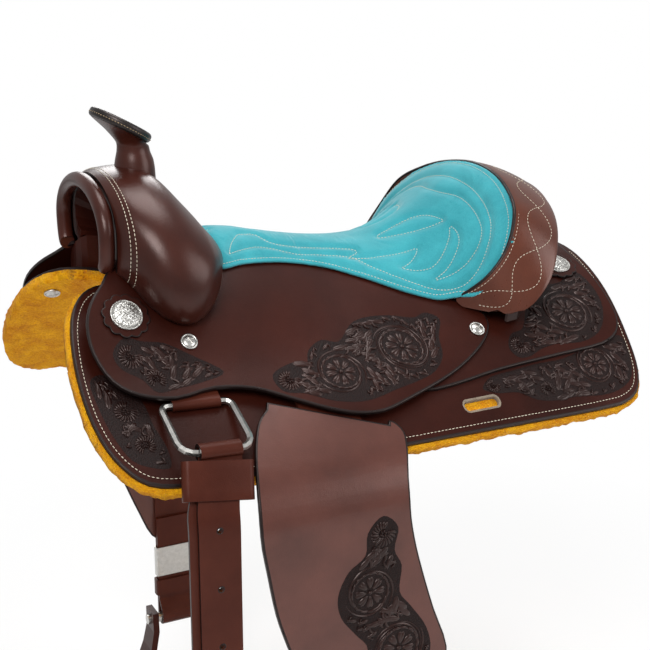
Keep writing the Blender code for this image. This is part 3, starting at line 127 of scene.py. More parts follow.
def smoothPath(points, steps=3, closed=True):
    # Smooth curve through the points; short steps keep their slopes small, so that it can't loop
    count = len(points)
    path = []
    for i in range(count if closed else count - 1):
        near = [(i + k) % count if closed else min(count - 1, max(0, i + k)) for k in (-1, 0, 1, 2)]
        a, b, c, d = (Vector(points[at]) for at in near)
        span = 2.0 * (c - b).length
        leave = 0.5 * (c - a) * min(1.0, span / max((c - a).length, 1e-9))
        arrive = 0.5 * (d - b) * min(1.0, span / max((d - b).length, 1e-9))
        path += [cubic(k / steps, b, c, leave, arrive) for k in range(steps)]
    return path if closed else path + [Vector(points[-1])]


def evenPoints(path, gap, closed=False):
    # Walks a path in equal steps; gives each point and the direction of travel
    loop = list(path) + ([path[0]] if closed else [])
    spots, travelled, due = [], 0.0, gap * 0.5
    for a, b in zip(loop, loop[1:]):
        span = (b - a).length
        while span > 0.0 and due <= travelled + span:
            spots.append((a.lerp(b, (due - travelled) / span), (b - a).normalized()))
            due += gap
        travelled += span
    return spots


# Node groups and finishes
def newGroup(name, inputs, outputs):
    tree = bpy.data.node_groups.new(name, "ShaderNodeTree")
    for label, kind, value in inputs:
        socket = tree.interface.new_socket(name=label, in_out="INPUT", socket_type=kind)
        socket.default_value = value
    for label, kind in outputs:
        tree.interface.new_socket(name=label, in_out="OUTPUT", socket_type=kind)
    return tree, tree.nodes.new("NodeGroupInput"), tree.nodes.new("NodeGroupOutput")


def addNode(tree, kind, inputs=None, **values):
    # inputs holds a socket to link or a constant for each input; values holds settings
    node = tree.nodes.new(kind)
    for key, value in values.items():
        if hasattr(node, key):
            setattr(node, key, value)
        else:
            node.inputs[key.replace("_", " ")].default_value = value
    for key, source in (inputs or {}).items():
        if isinstance(source, bpy.types.NodeSocket):
            tree.links.new(source, node.inputs[key])
        else:
            node.inputs[key].default_value = source
    return node


def addMath(tree, operation, a, b, **values):
    return addNode(tree, "ShaderNodeMath", {0: a, 1: b}, operation=operation, **values).outputs[0]


def mixColour(tree, factor, dark, light):
    return addNode(tree, "ShaderNodeMix", {0: factor, 6: dark, 7: light},
                   data_type="RGBA").outputs[2]


def buildHide():
    # Leather grain: pores and soft creases for the bump, and an uneven dye for the colour
    tree, given, made = newGroup("hideGrain", [
        ("Vector", "NodeSocketVector", (0.0, 0.0, 0.0)), ("Pores", "NodeSocketFloat", 900.0),
        ("Dark", "NodeSocketColor", (0.02, 0.008, 0.005, 1.0)),
        ("Light", "NodeSocketColor", (0.08, 0.03, 0.02, 1.0)),
        ("Wear", "NodeSocketFloat", 0.3)],
        [("Color", "NodeSocketColor"), ("Height", "NodeSocketFloat"),
         ("Rough", "NodeSocketFloat")])
    spot = given.outputs["Vector"]
    pores = addNode(tree, "ShaderNodeTexVoronoi", {"Vector": spot, "Scale": given.outputs["Pores"]},
                    feature="F1")
    crease = addNode(tree, "ShaderNodeTexNoise", {"Vector": spot}, Scale=220.0, Detail=5.0,
                     Roughness=0.65)
    dye = addNode(tree, "ShaderNodeTexNoise", {"Vector": spot}, Scale=14.0, Detail=6.0,
                  Roughness=0.6)
    flow = addNode(tree, "ShaderNodeTexNoise", {"Vector": spot}, Scale=3.2, Detail=2.0)
    both = addMath(tree, "ADD", dye.outputs["Fac"], flow.outputs["Fac"])
    spread = addNode(tree, "ShaderNodeMapRange", {"Value": both}, From_Min=0.72, From_Max=1.30)
    colour = mixColour(tree, spread.outputs["Result"], given.outputs["Dark"],
                       given.outputs["Light"])
    dents = addMath(tree, "MULTIPLY", pores.outputs["Distance"], 0.45)
    height = addMath(tree, "ADD", dents, crease.outputs["Fac"])
    rough = addNode(tree, "ShaderNodeMapRange", {
        "Value": crease.outputs["Fac"], "To Max": given.outputs["Wear"]}, To_Min=0.26)
    tree.links.new(colour, made.inputs["Color"])
    tree.links.new(height, made.inputs["Height"])
    tree.links.new(rough.outputs["Result"], made.inputs["Rough"])
    return tree


def buildNap():
    # Brushed fibres for suede, felt and wool: soft patches where the nap lies the other way
    tree, given, made = newGroup("brushedNap", [
        ("Vector", "NodeSocketVector", (0.0, 0.0, 0.0)), ("Patch", "NodeSocketFloat", 18.0),
        ("Fibre", "NodeSocketFloat", 700.0),
        ("Dark", "NodeSocketColor", (0.02, 0.20, 0.24, 1.0)),
        ("Light", "NodeSocketColor", (0.06, 0.45, 0.50, 1.0))],
        [("Color", "NodeSocketColor"), ("Height", "NodeSocketFloat")])
    spot = given.outputs["Vector"]
    patch = addNode(tree, "ShaderNodeTexNoise", {"Vector": spot, "Scale": given.outputs["Patch"]},
                    Detail=4.0, Roughness=0.55, Distortion=0.6)
    fibre = addNode(tree, "ShaderNodeTexNoise", {"Vector": spot, "Scale": given.outputs["Fibre"]},
                    Detail=3.0, Roughness=0.7)
    blend = addMath(tree, "ADD", patch.outputs["Fac"], fibre.outputs["Fac"])
    spread = addNode(tree, "ShaderNodeMapRange", {"Value": blend}, From_Min=0.70, From_Max=1.30)
    colour = mixColour(tree, spread.outputs["Result"], given.outputs["Dark"],
                       given.outputs["Light"])
    tree.links.new(colour, made.inputs["Color"])
    tree.links.new(fibre.outputs["Fac"], made.inputs["Height"])
    return tree


groups = {"hide": buildHide(), "nap": buildNap()}


def startMaterial(name, **values):
    material = bpy.data.materials.new(name)
    material.use_nodes = True
    tree = material.node_tree
    shader = tree.nodes["Principled BSDF"]
    for key, value in values.items():
        shader.inputs[key.replace("_", " ")].default_value = value
    return material, tree, shader, tree.nodes.new("ShaderNodeTexCoord").outputs["Object"]


def addBump(tree, shader, height, strength, distance):
    bump = addNode(tree, "ShaderNodeBump", {"Height": height}, Strength=strength, Distance=distance)
    tree.links.new(bump.outputs["Normal"], shader.inputs["Normal"])


def hideMaterial(name, dark, light, pores=900.0, wear=0.42, gloss=0.4, bump=0.35):
    material, tree, shader, spot = startMaterial(
        name, Specular_IOR_Level=gloss, Specular_Tint=(1.0, 0.82, 0.78, 1.0))
    grain = addNode(tree, "ShaderNodeGroup", {"Vector": spot}, node_tree=groups["hide"],
                    Pores=pores, Dark=(*dark, 1.0), Light=(*light, 1.0), Wear=wear)
    tree.links.new(grain.outputs["Color"], shader.inputs["Base Color"])
    tree.links.new(grain.outputs["Rough"], shader.inputs["Roughness"])
    addBump(tree, shader, grain.outputs["Height"], bump, 0.0004)
    return material


def napMaterial(name, dark, light, patch, fibre, sheen, bump, distance):
    material, tree, shader, spot = startMaterial(
        name, Roughness=0.92, Sheen_Weight=sheen, Sheen_Roughness=0.45, Specular_IOR_Level=0.15)
    nap = addNode(tree, "ShaderNodeGroup", {"Vector": spot}, node_tree=groups["nap"],
                  Patch=patch, Fibre=fibre, Dark=(*dark, 1.0), Light=(*light, 1.0))
    tree.links.new(nap.outputs["Color"], shader.inputs["Base Color"])
    addBump(tree, shader, nap.outputs["Height"], bump, distance)
    return material


def toolingGround():
    # The stamped ground between carved leaves: dark and pebbled
    material, tree, shader, spot = startMaterial("stampedGround", Roughness=0.55,
                                                 Specular_IOR_Level=0.18)
    pebble = addNode(tree, "ShaderNodeTexVoronoi", {"Vector": spot}, Scale=620.0)
    stamped = mixColour(tree, pebble.outputs["Distance"], (0.0140, 0.0034, 0.0024, 1.0),
                        (0.0040, 0.0012, 0.0009, 1.0))
    tree.links.new(stamped, shader.inputs["Base Color"])
    addBump(tree, shader, pebble.outputs["Distance"], 0.7, 0.0006)
    return material


def threadMaterial(name, colour):
    material, tree, shader, spot = startMaterial(name, Roughness=0.7)
    twist = addNode(tree, "ShaderNodeTexNoise", {"Vector": spot}, Scale=1500.0, Detail=2.0)
    shade = tuple(c * 0.75 for c in colour) + (1.0,)
    tree.links.new(mixColour(tree, twist.outputs["Fac"], shade, (*colour, 1.0)),
                   shader.inputs["Base Color"])
    addBump(tree, shader, twist.outputs["Fac"], 0.4, 0.0002)
    return material


def nickelMaterial(name, engraved=False):
    material, tree, shader, spot = startMaterial(name, Metallic=1.0)
    cloud = addNode(tree, "ShaderNodeTexNoise", {"Vector": spot}, Scale=160.0, Detail=6.0,
                    Roughness=0.7)
    tint = mixColour(tree, cloud.outputs["Fac"], (0.34, 0.33, 0.31, 1.0), (0.72, 0.71, 0.68, 1.0))
    rough = addNode(tree, "ShaderNodeMapRange", {"Value": cloud.outputs["Fac"]}, To_Min=0.22,
                    To_Max=0.42)
    tree.links.new(tint, shader.inputs["Base Color"])
    tree.links.new(rough.outputs["Result"], shader.inputs["Roughness"])
    if engraved:
        cuts = addNode(tree, "ShaderNodeTexVoronoi", {"Vector": spot}, Scale=330.0,
                       feature="DISTANCE_TO_EDGE")
        addBump(tree, shader, cuts.outputs["Distance"], 0.8, 0.0012)
    else:
        addBump(tree, shader, cloud.outputs["Fac"], 0.15, 0.0003)
    return material


finish = {
    "brown": hideMaterial("brownHide", (0.0190, 0.0034, 0.0019), (0.0410, 0.0078, 0.0044),
                          gloss=0.17),
    "carved": hideMaterial("carvedHide", (0.0080, 0.0020, 0.0014), (0.0215, 0.0052, 0.0034),
                           wear=0.32, gloss=0.40, bump=0.2),
    "swell": hideMaterial("swellHide", (0.0290, 0.0060, 0.0036), (0.0660, 0.0150, 0.0088),
                          wear=0.32, gloss=0.40, bump=0.25),
    "roll": hideMaterial("rollHide", (0.0420, 0.0080, 0.0028), (0.1000, 0.0215, 0.0078),
                         wear=0.30, gloss=0.60, bump=0.25),
    "fender": hideMaterial("fenderHide", (0.0530, 0.0140, 0.0092), (0.1160, 0.0350, 0.0240),
                           wear=0.36, gloss=0.62, bump=0.3),
    "strap": hideMaterial("strapHide", (0.0430, 0.0090, 0.0050), (0.0860, 0.0205, 0.0115),
                          pores=1100.0, wear=0.5, gloss=0.16, bump=0.4),
    "edge": hideMaterial("burnishedEdge", (0.0035, 0.0020, 0.0020), (0.010, 0.0055, 0.0050),
                         wear=0.5, gloss=0.35, bump=0.3),
    "black": hideMaterial("blackHide", (0.004, 0.004, 0.004), (0.012, 0.012, 0.012),
                          wear=0.45, gloss=0.45, bump=0.3),
    "ground": toolingGround(),
    "suede": napMaterial("turquoiseSuede", (0.026, 0.255, 0.300), (0.056, 0.390, 0.445),
                         16.0, 900.0, 0.30, 0.35, 0.0006),
    "fleece": napMaterial("goldenFleece", (0.620, 0.190, 0.001), (1.000, 0.510, 0.008),
                          42.0, 380.0, 0.05, 1.0, 0.0040),
    "felt": napMaterial("greyFelt", (0.16, 0.12, 0.09), (0.30, 0.25, 0.19),
                        60.0, 900.0, 0.2, 0.6, 0.0008),
    "cream": threadMaterial("creamThread", (0.78, 0.70, 0.55)),
    "tan": threadMaterial("tanThread", (0.42, 0.30, 0.17)),
    "nickel": nickelMaterial("brushedNickel"),
    "concho": nickelMaterial("engravedConcho", engraved=True),
}
print("stage: finishes", len(finish))


# Mesh helpers
def meshOf(name, bm):
    mesh = bpy.data.meshes.new(name)
    bm.to_mesh(mesh)
    bm.free()
    return mesh


def linked(name, data):
    item = bpy.data.objects.new(name, data)
    bpy.context.scene.collection.objects.link(item)
    return item


def newPiece(name, bm, materials, body="saddle", stands=(), sharp=50.0):
    mesh = meshOf(name, bm)
    for label in materials:
        mesh.materials.append(finish[label])
    mesh.shade_smooth()
    mesh.set_sharp_from_angle(angle=math.radians(sharp))
    piece = linked(name, mesh)
    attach(piece, body)
    if stands:
        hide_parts(*stands)
    return piece


def turnOut(bm):
    bmesh.ops.remove_doubles(bm, verts=bm.verts, dist=0.000005)
    bmesh.ops.recalc_face_normals(bm, faces=bm.faces)
    return bm


def placed(bm, matrix):
    bmesh.ops.transform(bm, matrix=matrix, verts=bm.verts)
    return bm


def turned(path):
    # 1 for an outline that runs anticlockwise, -1 for one that runs clockwise
    area = sum(a.x * b.y - b.x * a.y for a, b in zip(path, path[1:] + path[:1]))
    return 1.0 if area > 0.0 else -1.0


def extruded(bm, offset):
    # Turns a flat sheet into a closed slab; its walls get material 1
    moved = bmesh.ops.extrude_face_region(bm, geom=bm.faces[:])["geom"]
    bmesh.ops.translate(bm, verts=[v for v in moved if isinstance(v, bmesh.types.BMVert)],
                        vec=(0.0, 0.0, offset))
    bmesh.ops.recalc_face_normals(bm, faces=bm.faces)
    walls = [f for f in bm.faces if abs(f.normal.z) < 0.5]
    for f in walls:
        f.material_index = 1
    return walls


def around(x, y, radius, angle):
    return (x + radius * math.cos(angle), y + radius * math.sin(angle))


def ringOf(centre, radius, across, up, count):
    return [centre + radius * (math.cos(math.tau * j / count) * across
                               + math.sin(math.tau * j / count) * up) for j in range(count)]


def travel(path, k):
    # Which way an open path runs at its point k
    return path[min(len(path) - 1, k + 1)] - path[max(0, k - 1)]


def flatPanel(outline, cell, thickness, border=0.0015, rounding=0.0009, holes=()):
    # A flat blank: its outline, a burnished ring along the edge (material 1) and a grid of cuts
    rim = outline if turned(outline) > 0.0 else list(reversed(outline))
    bm = bmesh.new()
    for loop in (rim, *holes):
        corners = [bm.verts.new((p.x, p.y, 0.0)) for p in loop]
        for a, b in zip(corners, corners[1:] + corners[:1]):
            bm.edges.new((a, b))
    bmesh.ops.triangle_fill(bm, use_beauty=True, use_dissolve=False, edges=bm.edges[:],
                            normal=(0.0, 0.0, 1.0))
    if border:
        ring = bmesh.ops.inset_region(bm, faces=bm.faces[:], thickness=border, use_even_offset=True,
                                      use_boundary=True)
        for f in ring["faces"]:
            f.material_index = 1
    for axis, normal in enumerate((Vector((1.0, 0.0, 0.0)), Vector((0.0, 1.0, 0.0)))):
        spread = [p[axis] / cell for p in rim]
        for k in range(math.floor(min(spread)) + 1, math.ceil(max(spread))):
            bmesh.ops.bisect_plane(bm, geom=bm.verts[:] + bm.edges[:] + bm.faces[:], dist=0.00001,
                                   plane_co=k * cell * normal, plane_no=normal)
    walls = extruded(bm, -thickness)
    if rounding:
        crest = {e for f in walls for e in f.edges if all(v.co.z > -0.00001 for v in e.verts)}
        bmesh.ops.bevel(bm, geom=list(crest), offset=rounding, offset_type="OFFSET", segments=2,
                        profile=0.5, affect="EDGES", clamp_overlap=False, material=-1)
    return bm


def formPanel(bm, place):
    # Bends a flat blank: a point at x, y and depth z goes to place(x, y, z)
    for v in bm.verts:
        v.co = place(v.co.x, v.co.y, v.co.z)
    bmesh.ops.recalc_face_normals(bm, faces=bm.faces)
    return bm


def loftSkin(rings, closed=True):
    # Rings of equal counts joined into one skin, closed round and, if asked, at both ends
    rows, columns = len(rings), len(rings[0])
    bm = bmesh.new()
    bmesh.ops.create_grid(bm, x_segments=columns, y_segments=rows - 1, size=0.5)
    for v in bm.verts:
        column = round((v.co.x + 0.5) * columns) % columns
        row = round((v.co.y + 0.5) * (rows - 1))
        v.co = rings[row][column]
    bmesh.ops.remove_doubles(bm, verts=bm.verts, dist=0.000005)
    if closed:
        bmesh.ops.holes_fill(bm, edges=[e for e in bm.edges if e.is_boundary], sides=0)
    bmesh.ops.recalc_face_normals(bm, faces=bm.faces)
    return bm


def slabSkin(uCount, vCount, place):
    # A closed sheet whose points are place(u, v, w), with w 1 outside and 0 inside
    bm = bmesh.new()
    bmesh.ops.create_grid(bm, x_segments=uCount, y_segments=vCount, size=0.5)
    extruded(bm, 1.0)
    for v in bm.verts:
        v.co = place(v.co.x + 0.5, v.co.y + 0.5, 1.0 if v.co.z > 0.5 else 0.0)
    return turnOut(bm)


def pourInto(bm, part):
    # Adds one mesh to another, which is quicker than making everything in one
    mesh = meshOf("part", part)
    bm.from_mesh(mesh)
    bpy.data.meshes.remove(mesh)


def sewRow(bm, spots, length, width, lift):
    # Thread lying on the leather: spots are (point, direction, normal)
    for first in range(0, len(spots), 24):
        part = bmesh.new()
        for point, along, normal in spots[first:first + 24]:
            across = normal.cross(along).normalized()
            up = along.cross(across).normalized()
            turn = Matrix((along, across, up)).transposed().to_4x4()
            size = Matrix.Diagonal((length, width, width * 0.8, 1.0))
            place = Matrix.Translation(point + lift * up) @ turn @ size
            bmesh.ops.create_uvsphere(part, u_segments=6, v_segments=4, radius=0.5, matrix=place)
        pourInto(bm, part)


def spotsOn(height, path, gap, closed=False):
    # Spots for sewRow, along a path on a formed surface
    return [(point, along, normalAt(height, point.x, point.y))
            for point, along in evenPoints(path, gap, closed)]


def insetPath(path, distance):
    # A closed path moved inwards
    turn = turned(path)
    moved = []
    for i, p in enumerate(path):
        along = path[(i + 1) % len(path)] - path[i - 1]
        moved.append(p - distance * turn * Vector((along.y, -along.x)).normalized())
    return moved


# Carving
def addLobe(bm, foot, angle, length, width, height, tip=0.5, curl=0.0):
    # One raised petal or leaf blade; tip 1 is broad, 0 is pointed
    made = bmesh.ops.create_uvsphere(bm, u_segments=8, v_segments=6, radius=0.5)["verts"]
    for v in made:
        u = v.co.x + 0.5
        spread = (0.55 + 0.75 * u) * tip + (1.25 - 0.75 * u) * (1.0 - tip)
        turn = angle + curl * u
        px = length * u
        py = v.co.y * width * spread
        v.co = (foot[0] + px * math.cos(turn) - py * math.sin(turn),
                foot[1] + px * math.sin(turn) + py * math.cos(turn),
                max(-0.0004, v.co.z * 2.0 * height))


def addRidge(bm, path, width, height):
    # A raised stem along a flat path, tapered at both ends
    rows = len(path)
    made = bmesh.ops.create_grid(bm, x_segments=4, y_segments=rows - 1, size=0.5)["verts"]
    for v in made:
        k = round((v.co.y + 0.5) * (rows - 1))
        across = v.co.x * 2.0
        along = travel(path, k).normalized()
        size = math.sin(math.pi * (k + 0.4) / (rows - 0.2)) ** 0.5
        spot = path[k] + 0.5 * width * size * across * Vector((-along.y, along.x))
        v.co = (spot.x, spot.y, height * size * (1.0 - across * across) - 0.0003)


def addLeaf(bm, foot, angle, length, width, way=1.0):
    # Two swollen halves with a crease between them, and a curled tip
    for edge in (-1.0, 1.0):
        addLobe(bm, foot, angle + edge * 0.30, length * 0.86, width * 0.62, 0.0015, tip=0.55,
                curl=-edge * 0.42)
    addLobe(bm, around(*foot, 0.62 * length, angle), angle + way * 0.9, length * 0.44,
            width * 0.42, 0.0018, tip=0.6, curl=way * 1.2)


def arcPath(x, y, start, sweep, radiusFrom, radiusTo, count=22):
    return [Vector(around(x, y, radiusFrom + (radiusTo - radiusFrom) * k / count,
                          start + sweep * k / count)) for k in range(count + 1)]


def carveFlower(bm, x, y, radius, turn, way, petals=8):
    for k in range(petals):
        a = turn + math.tau * k / petals
        for edge in (-1.0, 1.0):
            addLobe(bm, around(x, y, 0.13 * radius, a), a + edge * 0.16, radius * 0.47,
                    radius * 0.185, 0.0016, tip=1.0)
    addLobe(bm, (x - 0.10 * radius, y), 0.0, radius * 0.20, radius * 0.17, 0.0024)
    for k in range(3):  # stems that wind round the flower
        start = turn + math.tau * k / 3
        addRidge(bm, arcPath(x, y, start, way * 2.9, 0.70 * radius, radius), radius * 0.11, 0.0017)
        addRidge(bm, arcPath(x, y, start + 0.5, way * 2.3, 0.80 * radius, 0.95 * radius),
                 radius * 0.06, 0.0014)
    for k in range(15):  # veined leaves between the stems
        a = turn + math.tau * k / 15
        addLobe(bm, around(x, y, 0.68 * radius, a), a + way * 0.95, radius * 0.36, radius * 0.13,
                0.0014, tip=0.4, curl=way * 0.8)


def carveShell(bm, x, y, radius, start, way, sweep=5.0, ridges=17):
    for k in range(ridges):
        a = start + way * sweep * k / (ridges - 1)
        addLobe(bm, around(x, y, 0.26 * radius, a), a - way * 0.30,
                radius * 0.76 * (1.0 - 0.20 * k / ridges), radius * 0.22, 0.0015, tip=0.9,
                curl=way * 0.45)
    for k in range(6):
        a = start + way * math.tau * k / 6
        addLobe(bm, around(x, y, 0.08 * radius, a), a + way * 1.2, radius * 0.26, radius * 0.14,
                0.0018, tip=0.6)


def insidePath(x, y, path):
    # Counts how often a ray crosses the path
    crossed = False
    for a, b in zip(path, path[1:] + path[:1]):
        if (a.y > y) != (b.y > y) and x < a.x + (b.x - a.x) * (y - a.y) / (b.y - a.y):
            crossed = not crossed
    return crossed


def carveFoliage(bm, path, centres, gap, leaf, width):
    # Fills the rest of a carved field with leaves that sweep round the nearest flower or shell
    low = Vector((min(p.x for p in path), min(p.y for p in path)))
    high = Vector((max(p.x for p in path), max(p.y for p in path)))
    row, y = 0, low.y
    while y < high.y:
        strip = bmesh.new()
        x = low.x + (row % 2) * gap / 2.0
        while x < high.x:
            shift = 0.30 * gap * noise.noise_vector(Vector((x * 160.0, y * 160.0, 0.3)))
            spot = Vector((x + shift.x, y + shift.y))
            near = min(centres, key=lambda c: math.hypot(spot.x - c[0], spot.y - c[1]) - c[2])
            away = math.hypot(spot.x - near[0], spot.y - near[1])
            if away > near[2] * 1.03 and insidePath(spot.x, spot.y, path):
                twist = noise.noise(Vector((x * 70.0, y * 70.0, 0.0)))
                out = math.atan2(spot.y - near[1], spot.x - near[0])
                sweep = 1.35 - 0.9 * min(1.0, (away - near[2]) / (3.0 * gap))
                angle = out + near[3] * (sweep + 0.3 * twist)
                for size in (leaf * (1.0 + 0.35 * twist), leaf * 0.62, leaf * 0.42):
                    if insidePath(*around(*spot, size, angle), path):
                        addLeaf(strip, tuple(spot), angle, size, width * size / leaf, near[3])
                        break
            x += gap
        pourInto(bm, strip)
        y += gap * 0.8
        row += 1


def arcTable(height, x, end=0.262):
    # Distance along the leather from the centre plane, against the plain distance
    table, travelled, last = [(0.0, 0.0)], 0.0, Vector((0.0, height(x, 0.0)))
    for k in range(1, int(end / 0.002) + 1):
        point = Vector((0.002 * k, height(x, 0.002 * k)))
        travelled += (point - last).length
        last = point
        table.append((travelled, point.x))
    return table


def lookUp(table, value, given=0):
    rows = table if value >= table[0][given] else table[:2]
    k = 0
    while k < len(rows) - 2 and rows[k + 1][given] < value:
        k += 1
    a, b = rows[k], rows[k + 1]
    share = (value - a[given]) / (b[given] - a[given])
    return a[1 - given] + (b[1 - given] - a[1 - given]) * share


def carveField(field, flat, leaves, ground):
    # One carved field: stamped ground, its flowers and shells, and leaves between them
    path = smoothPath([flat(*p) for p in field["edge"]], 4)
    sheet = flatPanel(path, 0.006, 0.0006, border=0.0, rounding=0.0)
    centres = []
    for kind, carve, twist in (("flowers", carveFlower, 0.2), ("shells", carveShell, 0.9)):
        for k, (x, y, radius) in enumerate(field[kind]):
            spot, way = flat(x, y), (1.0, -1.0)[k % 2]
            motif = bmesh.new()
            carve(motif, spot.x, spot.y, radius, twist * k, way)
            pourInto(leaves, motif)
            centres.append((spot.x, spot.y, radius, way))
    motif = bmesh.new()
    carveFoliage(motif, path, centres, carving["gap"], carving["leaf"], carving["width"])
    pourInto(leaves, motif)
    bmesh.ops.translate(sheet, verts=sheet.verts, vec=(0.0, 0.0, carving["groundLift"]))
    pourInto(ground, sheet)


def carvePanel(name, fields, flat, place, body="saddle"):
    # Carved fields bent onto the leather by place(x, s, z)
    leaves, ground = bmesh.new(), bmesh.new()
    for field in fields:
        carveField(field, flat, leaves, ground)
    newPiece(name + "_ground", formPanel(ground, place), ["ground"], body)
    newPiece(name + "_carving", formPanel(leaves, place), ["carved"], body)


def plan(points, steps=3):
    return smoothPath([Vector(p) for p in points], steps)


def wholePlan(half, steps=3):
    # A half outline that crosses the centre plane, with its other half
    return plan(list(half) + [(x, -y) for x, y in reversed(half[1:-1])], steps)


def cutThrough(bm, tool):
    # Takes the tool's shapes out of a blank
    parts = [linked(label, bpy.data.meshes.new(label)) for label in ("blank", "tool")]
    for part, shape in zip(parts, (bm, tool)):
        shape.to_mesh(part.data)
    cut = parts[0].modifiers.new("cut", "BOOLEAN")
    cut.object = parts[1]
    cut.operation = "DIFFERENCE"
    cut.solver = "EXACT"
    ready = parts[0].evaluated_get(bpy.context.evaluated_depsgraph_get())
    bm.clear()
    bm.from_mesh(ready.to_mesh())
    ready.to_mesh_clear()
    for part in parts:
        mesh = part.data
        bpy.data.objects.remove(part)
        bpy.data.meshes.remove(mesh)
    tool.free()


def slotPath(x, y, length, width):
    # A slot with round ends, as a closed path
    return [Vector(around(x + end * (length - width) / 2.0, y, width / 2.0,
                          math.radians(start + 22.5 * k)))
            for end, start in ((1.0, -90.0), (-1.0, 90.0)) for k in range(9)]


def leather(name, outline, height, top, side, values, node, label="brown"):
    # A cut panel laid on one of the saddle's two surfaces; a slot shows the raw cut (material 2)
    holes = [slotPath(*values["slot"])] if "slot" in values else []
    bm = flatPanel(outline, values["cell"], values["thickness"], values["border"], holes=holes)
    if holes:
        x, y, length, width = values["slot"]
        for f in bm.faces:
            middle = f.calc_center_median()
            if (f.material_index == 1 and abs(middle.x - x) < length * 0.7
                    and abs(middle.y - y) < width * 1.2):
                f.material_index = 2
    formPanel(bm, lambda x, y, z: onSurface(height, x, side * y, top + z))
    return newPiece(name, bm, [label, "edge", "felt"], "saddle", stands=(node,))


def stitches(name, rows, values, label="cream", body="saddle"):
    bm = bmesh.new()
    for spots in rows:
        sewRow(bm, spots, values["length"], values["width"], 0.0002)
    return newPiece(name, bm, [label], body)


seam = {"length": 0.0034, "width": 0.0009, "gap": 0.0046}

# Skirts and their fleece
skirt = {
    "outline": mm(
        (-262, 46), (-296, 62), (-318, 92), (-329, 137), (-329, 183), (-317, 218), (-290, 243),
        (-240, 250), (-100, 249.5), (100, 250), (285, 250), (318, 242), (335, 222), (344, 190),
        (355, 130), (361, 60), (362, 16), (359, 13), (300, 14), (220, 26), (80, 36), (-160, 36)),
    "thickness": 0.0050, "cell": 0.011, "border": 0.0022, "slot": (0.108, 0.2255, 0.045, 0.009),
    "sewn": 0.0064,
}
wool = {"thickness": 0.0120, "cell": 0.0042, "grown": 0.0032, "top": -0.00555, "lump": 0.0016,
        "scale": 130.0, "fineScale": 310.0}


def woolPanel(label, side):
    outline = insetPath(plan(skirt["outline"], 4), -wool["grown"])
    bm = flatPanel(outline, wool["cell"], wool["thickness"], border=0.0, rounding=0.0)
    for v in list(bm.verts):
        edge = any(abs(f.normal.z) < 0.5 for f in v.link_faces)
        curl = (noise.noise_vector(v.co * wool["scale"])
                + 0.5 * noise.noise_vector(v.co * wool["fineScale"]))
        if v.co.z < -0.5 * wool["thickness"]:
            v.co.z += wool["lump"] * (curl.z - 0.1)
        if edge:
            v.co.x += wool["lump"] * curl.x
            v.co.y += wool["lump"] * curl.y
    formPanel(bm, lambda x, y, z: onSurface(skirtHeight, x, side * y, wool["top"] + z))
    return newPiece("wool_" + label, bm, ["fleece"], "saddle",
                    stands=("fleece_" + label,), sharp=180.0)


for label, side in sides.items():
    skirtPlan = plan(skirt["outline"], 4)
    leather("skirt_leather_" + label, skirtPlan, skirtHeight, 0.0, side, skirt, "skirt_" + label)
    sewn = [onSurface(skirtHeight, p.x, side * p.y, 0.0001)
            for p in insetPath(skirtPlan, skirt["sewn"])]
    spots = spotsOn(skirtHeight, sewn, seam["gap"], closed=True)
    stitches("skirt_stitches_" + label, [[s for s in spots if abs(s[0].y) > 0.05]], seam)
    woolPanel(label, side)
print("stage: skirts and fleece")

# Seat jockeys and rear jockeys
jockey = {
    "outline": mm(
        (-143, 2.2), (-80, 1.5), (0, 1.5), (70, 1.5), (82, 8), (88, 55), (102, 100), (130, 122),
        (150, 131), (161, 142), (161, 157), (145, 173), (113, 190), (62, 209), (14, 224),
        (-21, 231), (-51, 229), (-81, 220), (-120, 203), (-154, 189), (-196, 184), (-240, 190),
        (-277, 184), (-300, 170), (-312, 146), (-311, 124), (-300, 106), (-283, 90), (-271, 76),
        (-264.5, 72), (-256, 79), (-245, 91.5), (-232, 104.5), (-216, 113), (-199, 114),
        (-181, 107), (-167, 97), (-156, 85), (-152.5, 74), (-152, 50), (-151.5, 20)),
    "thickness": 0.0045, "cell": 0.010, "border": 0.0020,
}
rearJockey = {
    "outline": mm(
        (350, 16), (346, 60), (347, 120), (342, 165), (328, 184), (300, 193), (238, 195),
        (150, 198), (85, 204), (48, 204), (36, 190), (50, 160), (85, 136), (130, 132), (210, 131),
        (240, 122), (245, 100), (246, 50), (250, 18), (256, 14), (345, 13)),
    "thickness": 0.0045, "cell": 0.010, "border": 0.0020, "top": 0.0048,
}
for label, side in sides.items():
    leather("jockey_leather_" + label, plan(jockey["outline"]), seatHeight, 0.0, side, jockey,
            "seat_jockey_" + label)
    leather("rear_jockey_leather_" + label, plan(rearJockey["outline"]), skirtHeight,
            rearJockey["top"], side, rearJockey, "rear_jockey_" + label)
print("stage: jockeys")

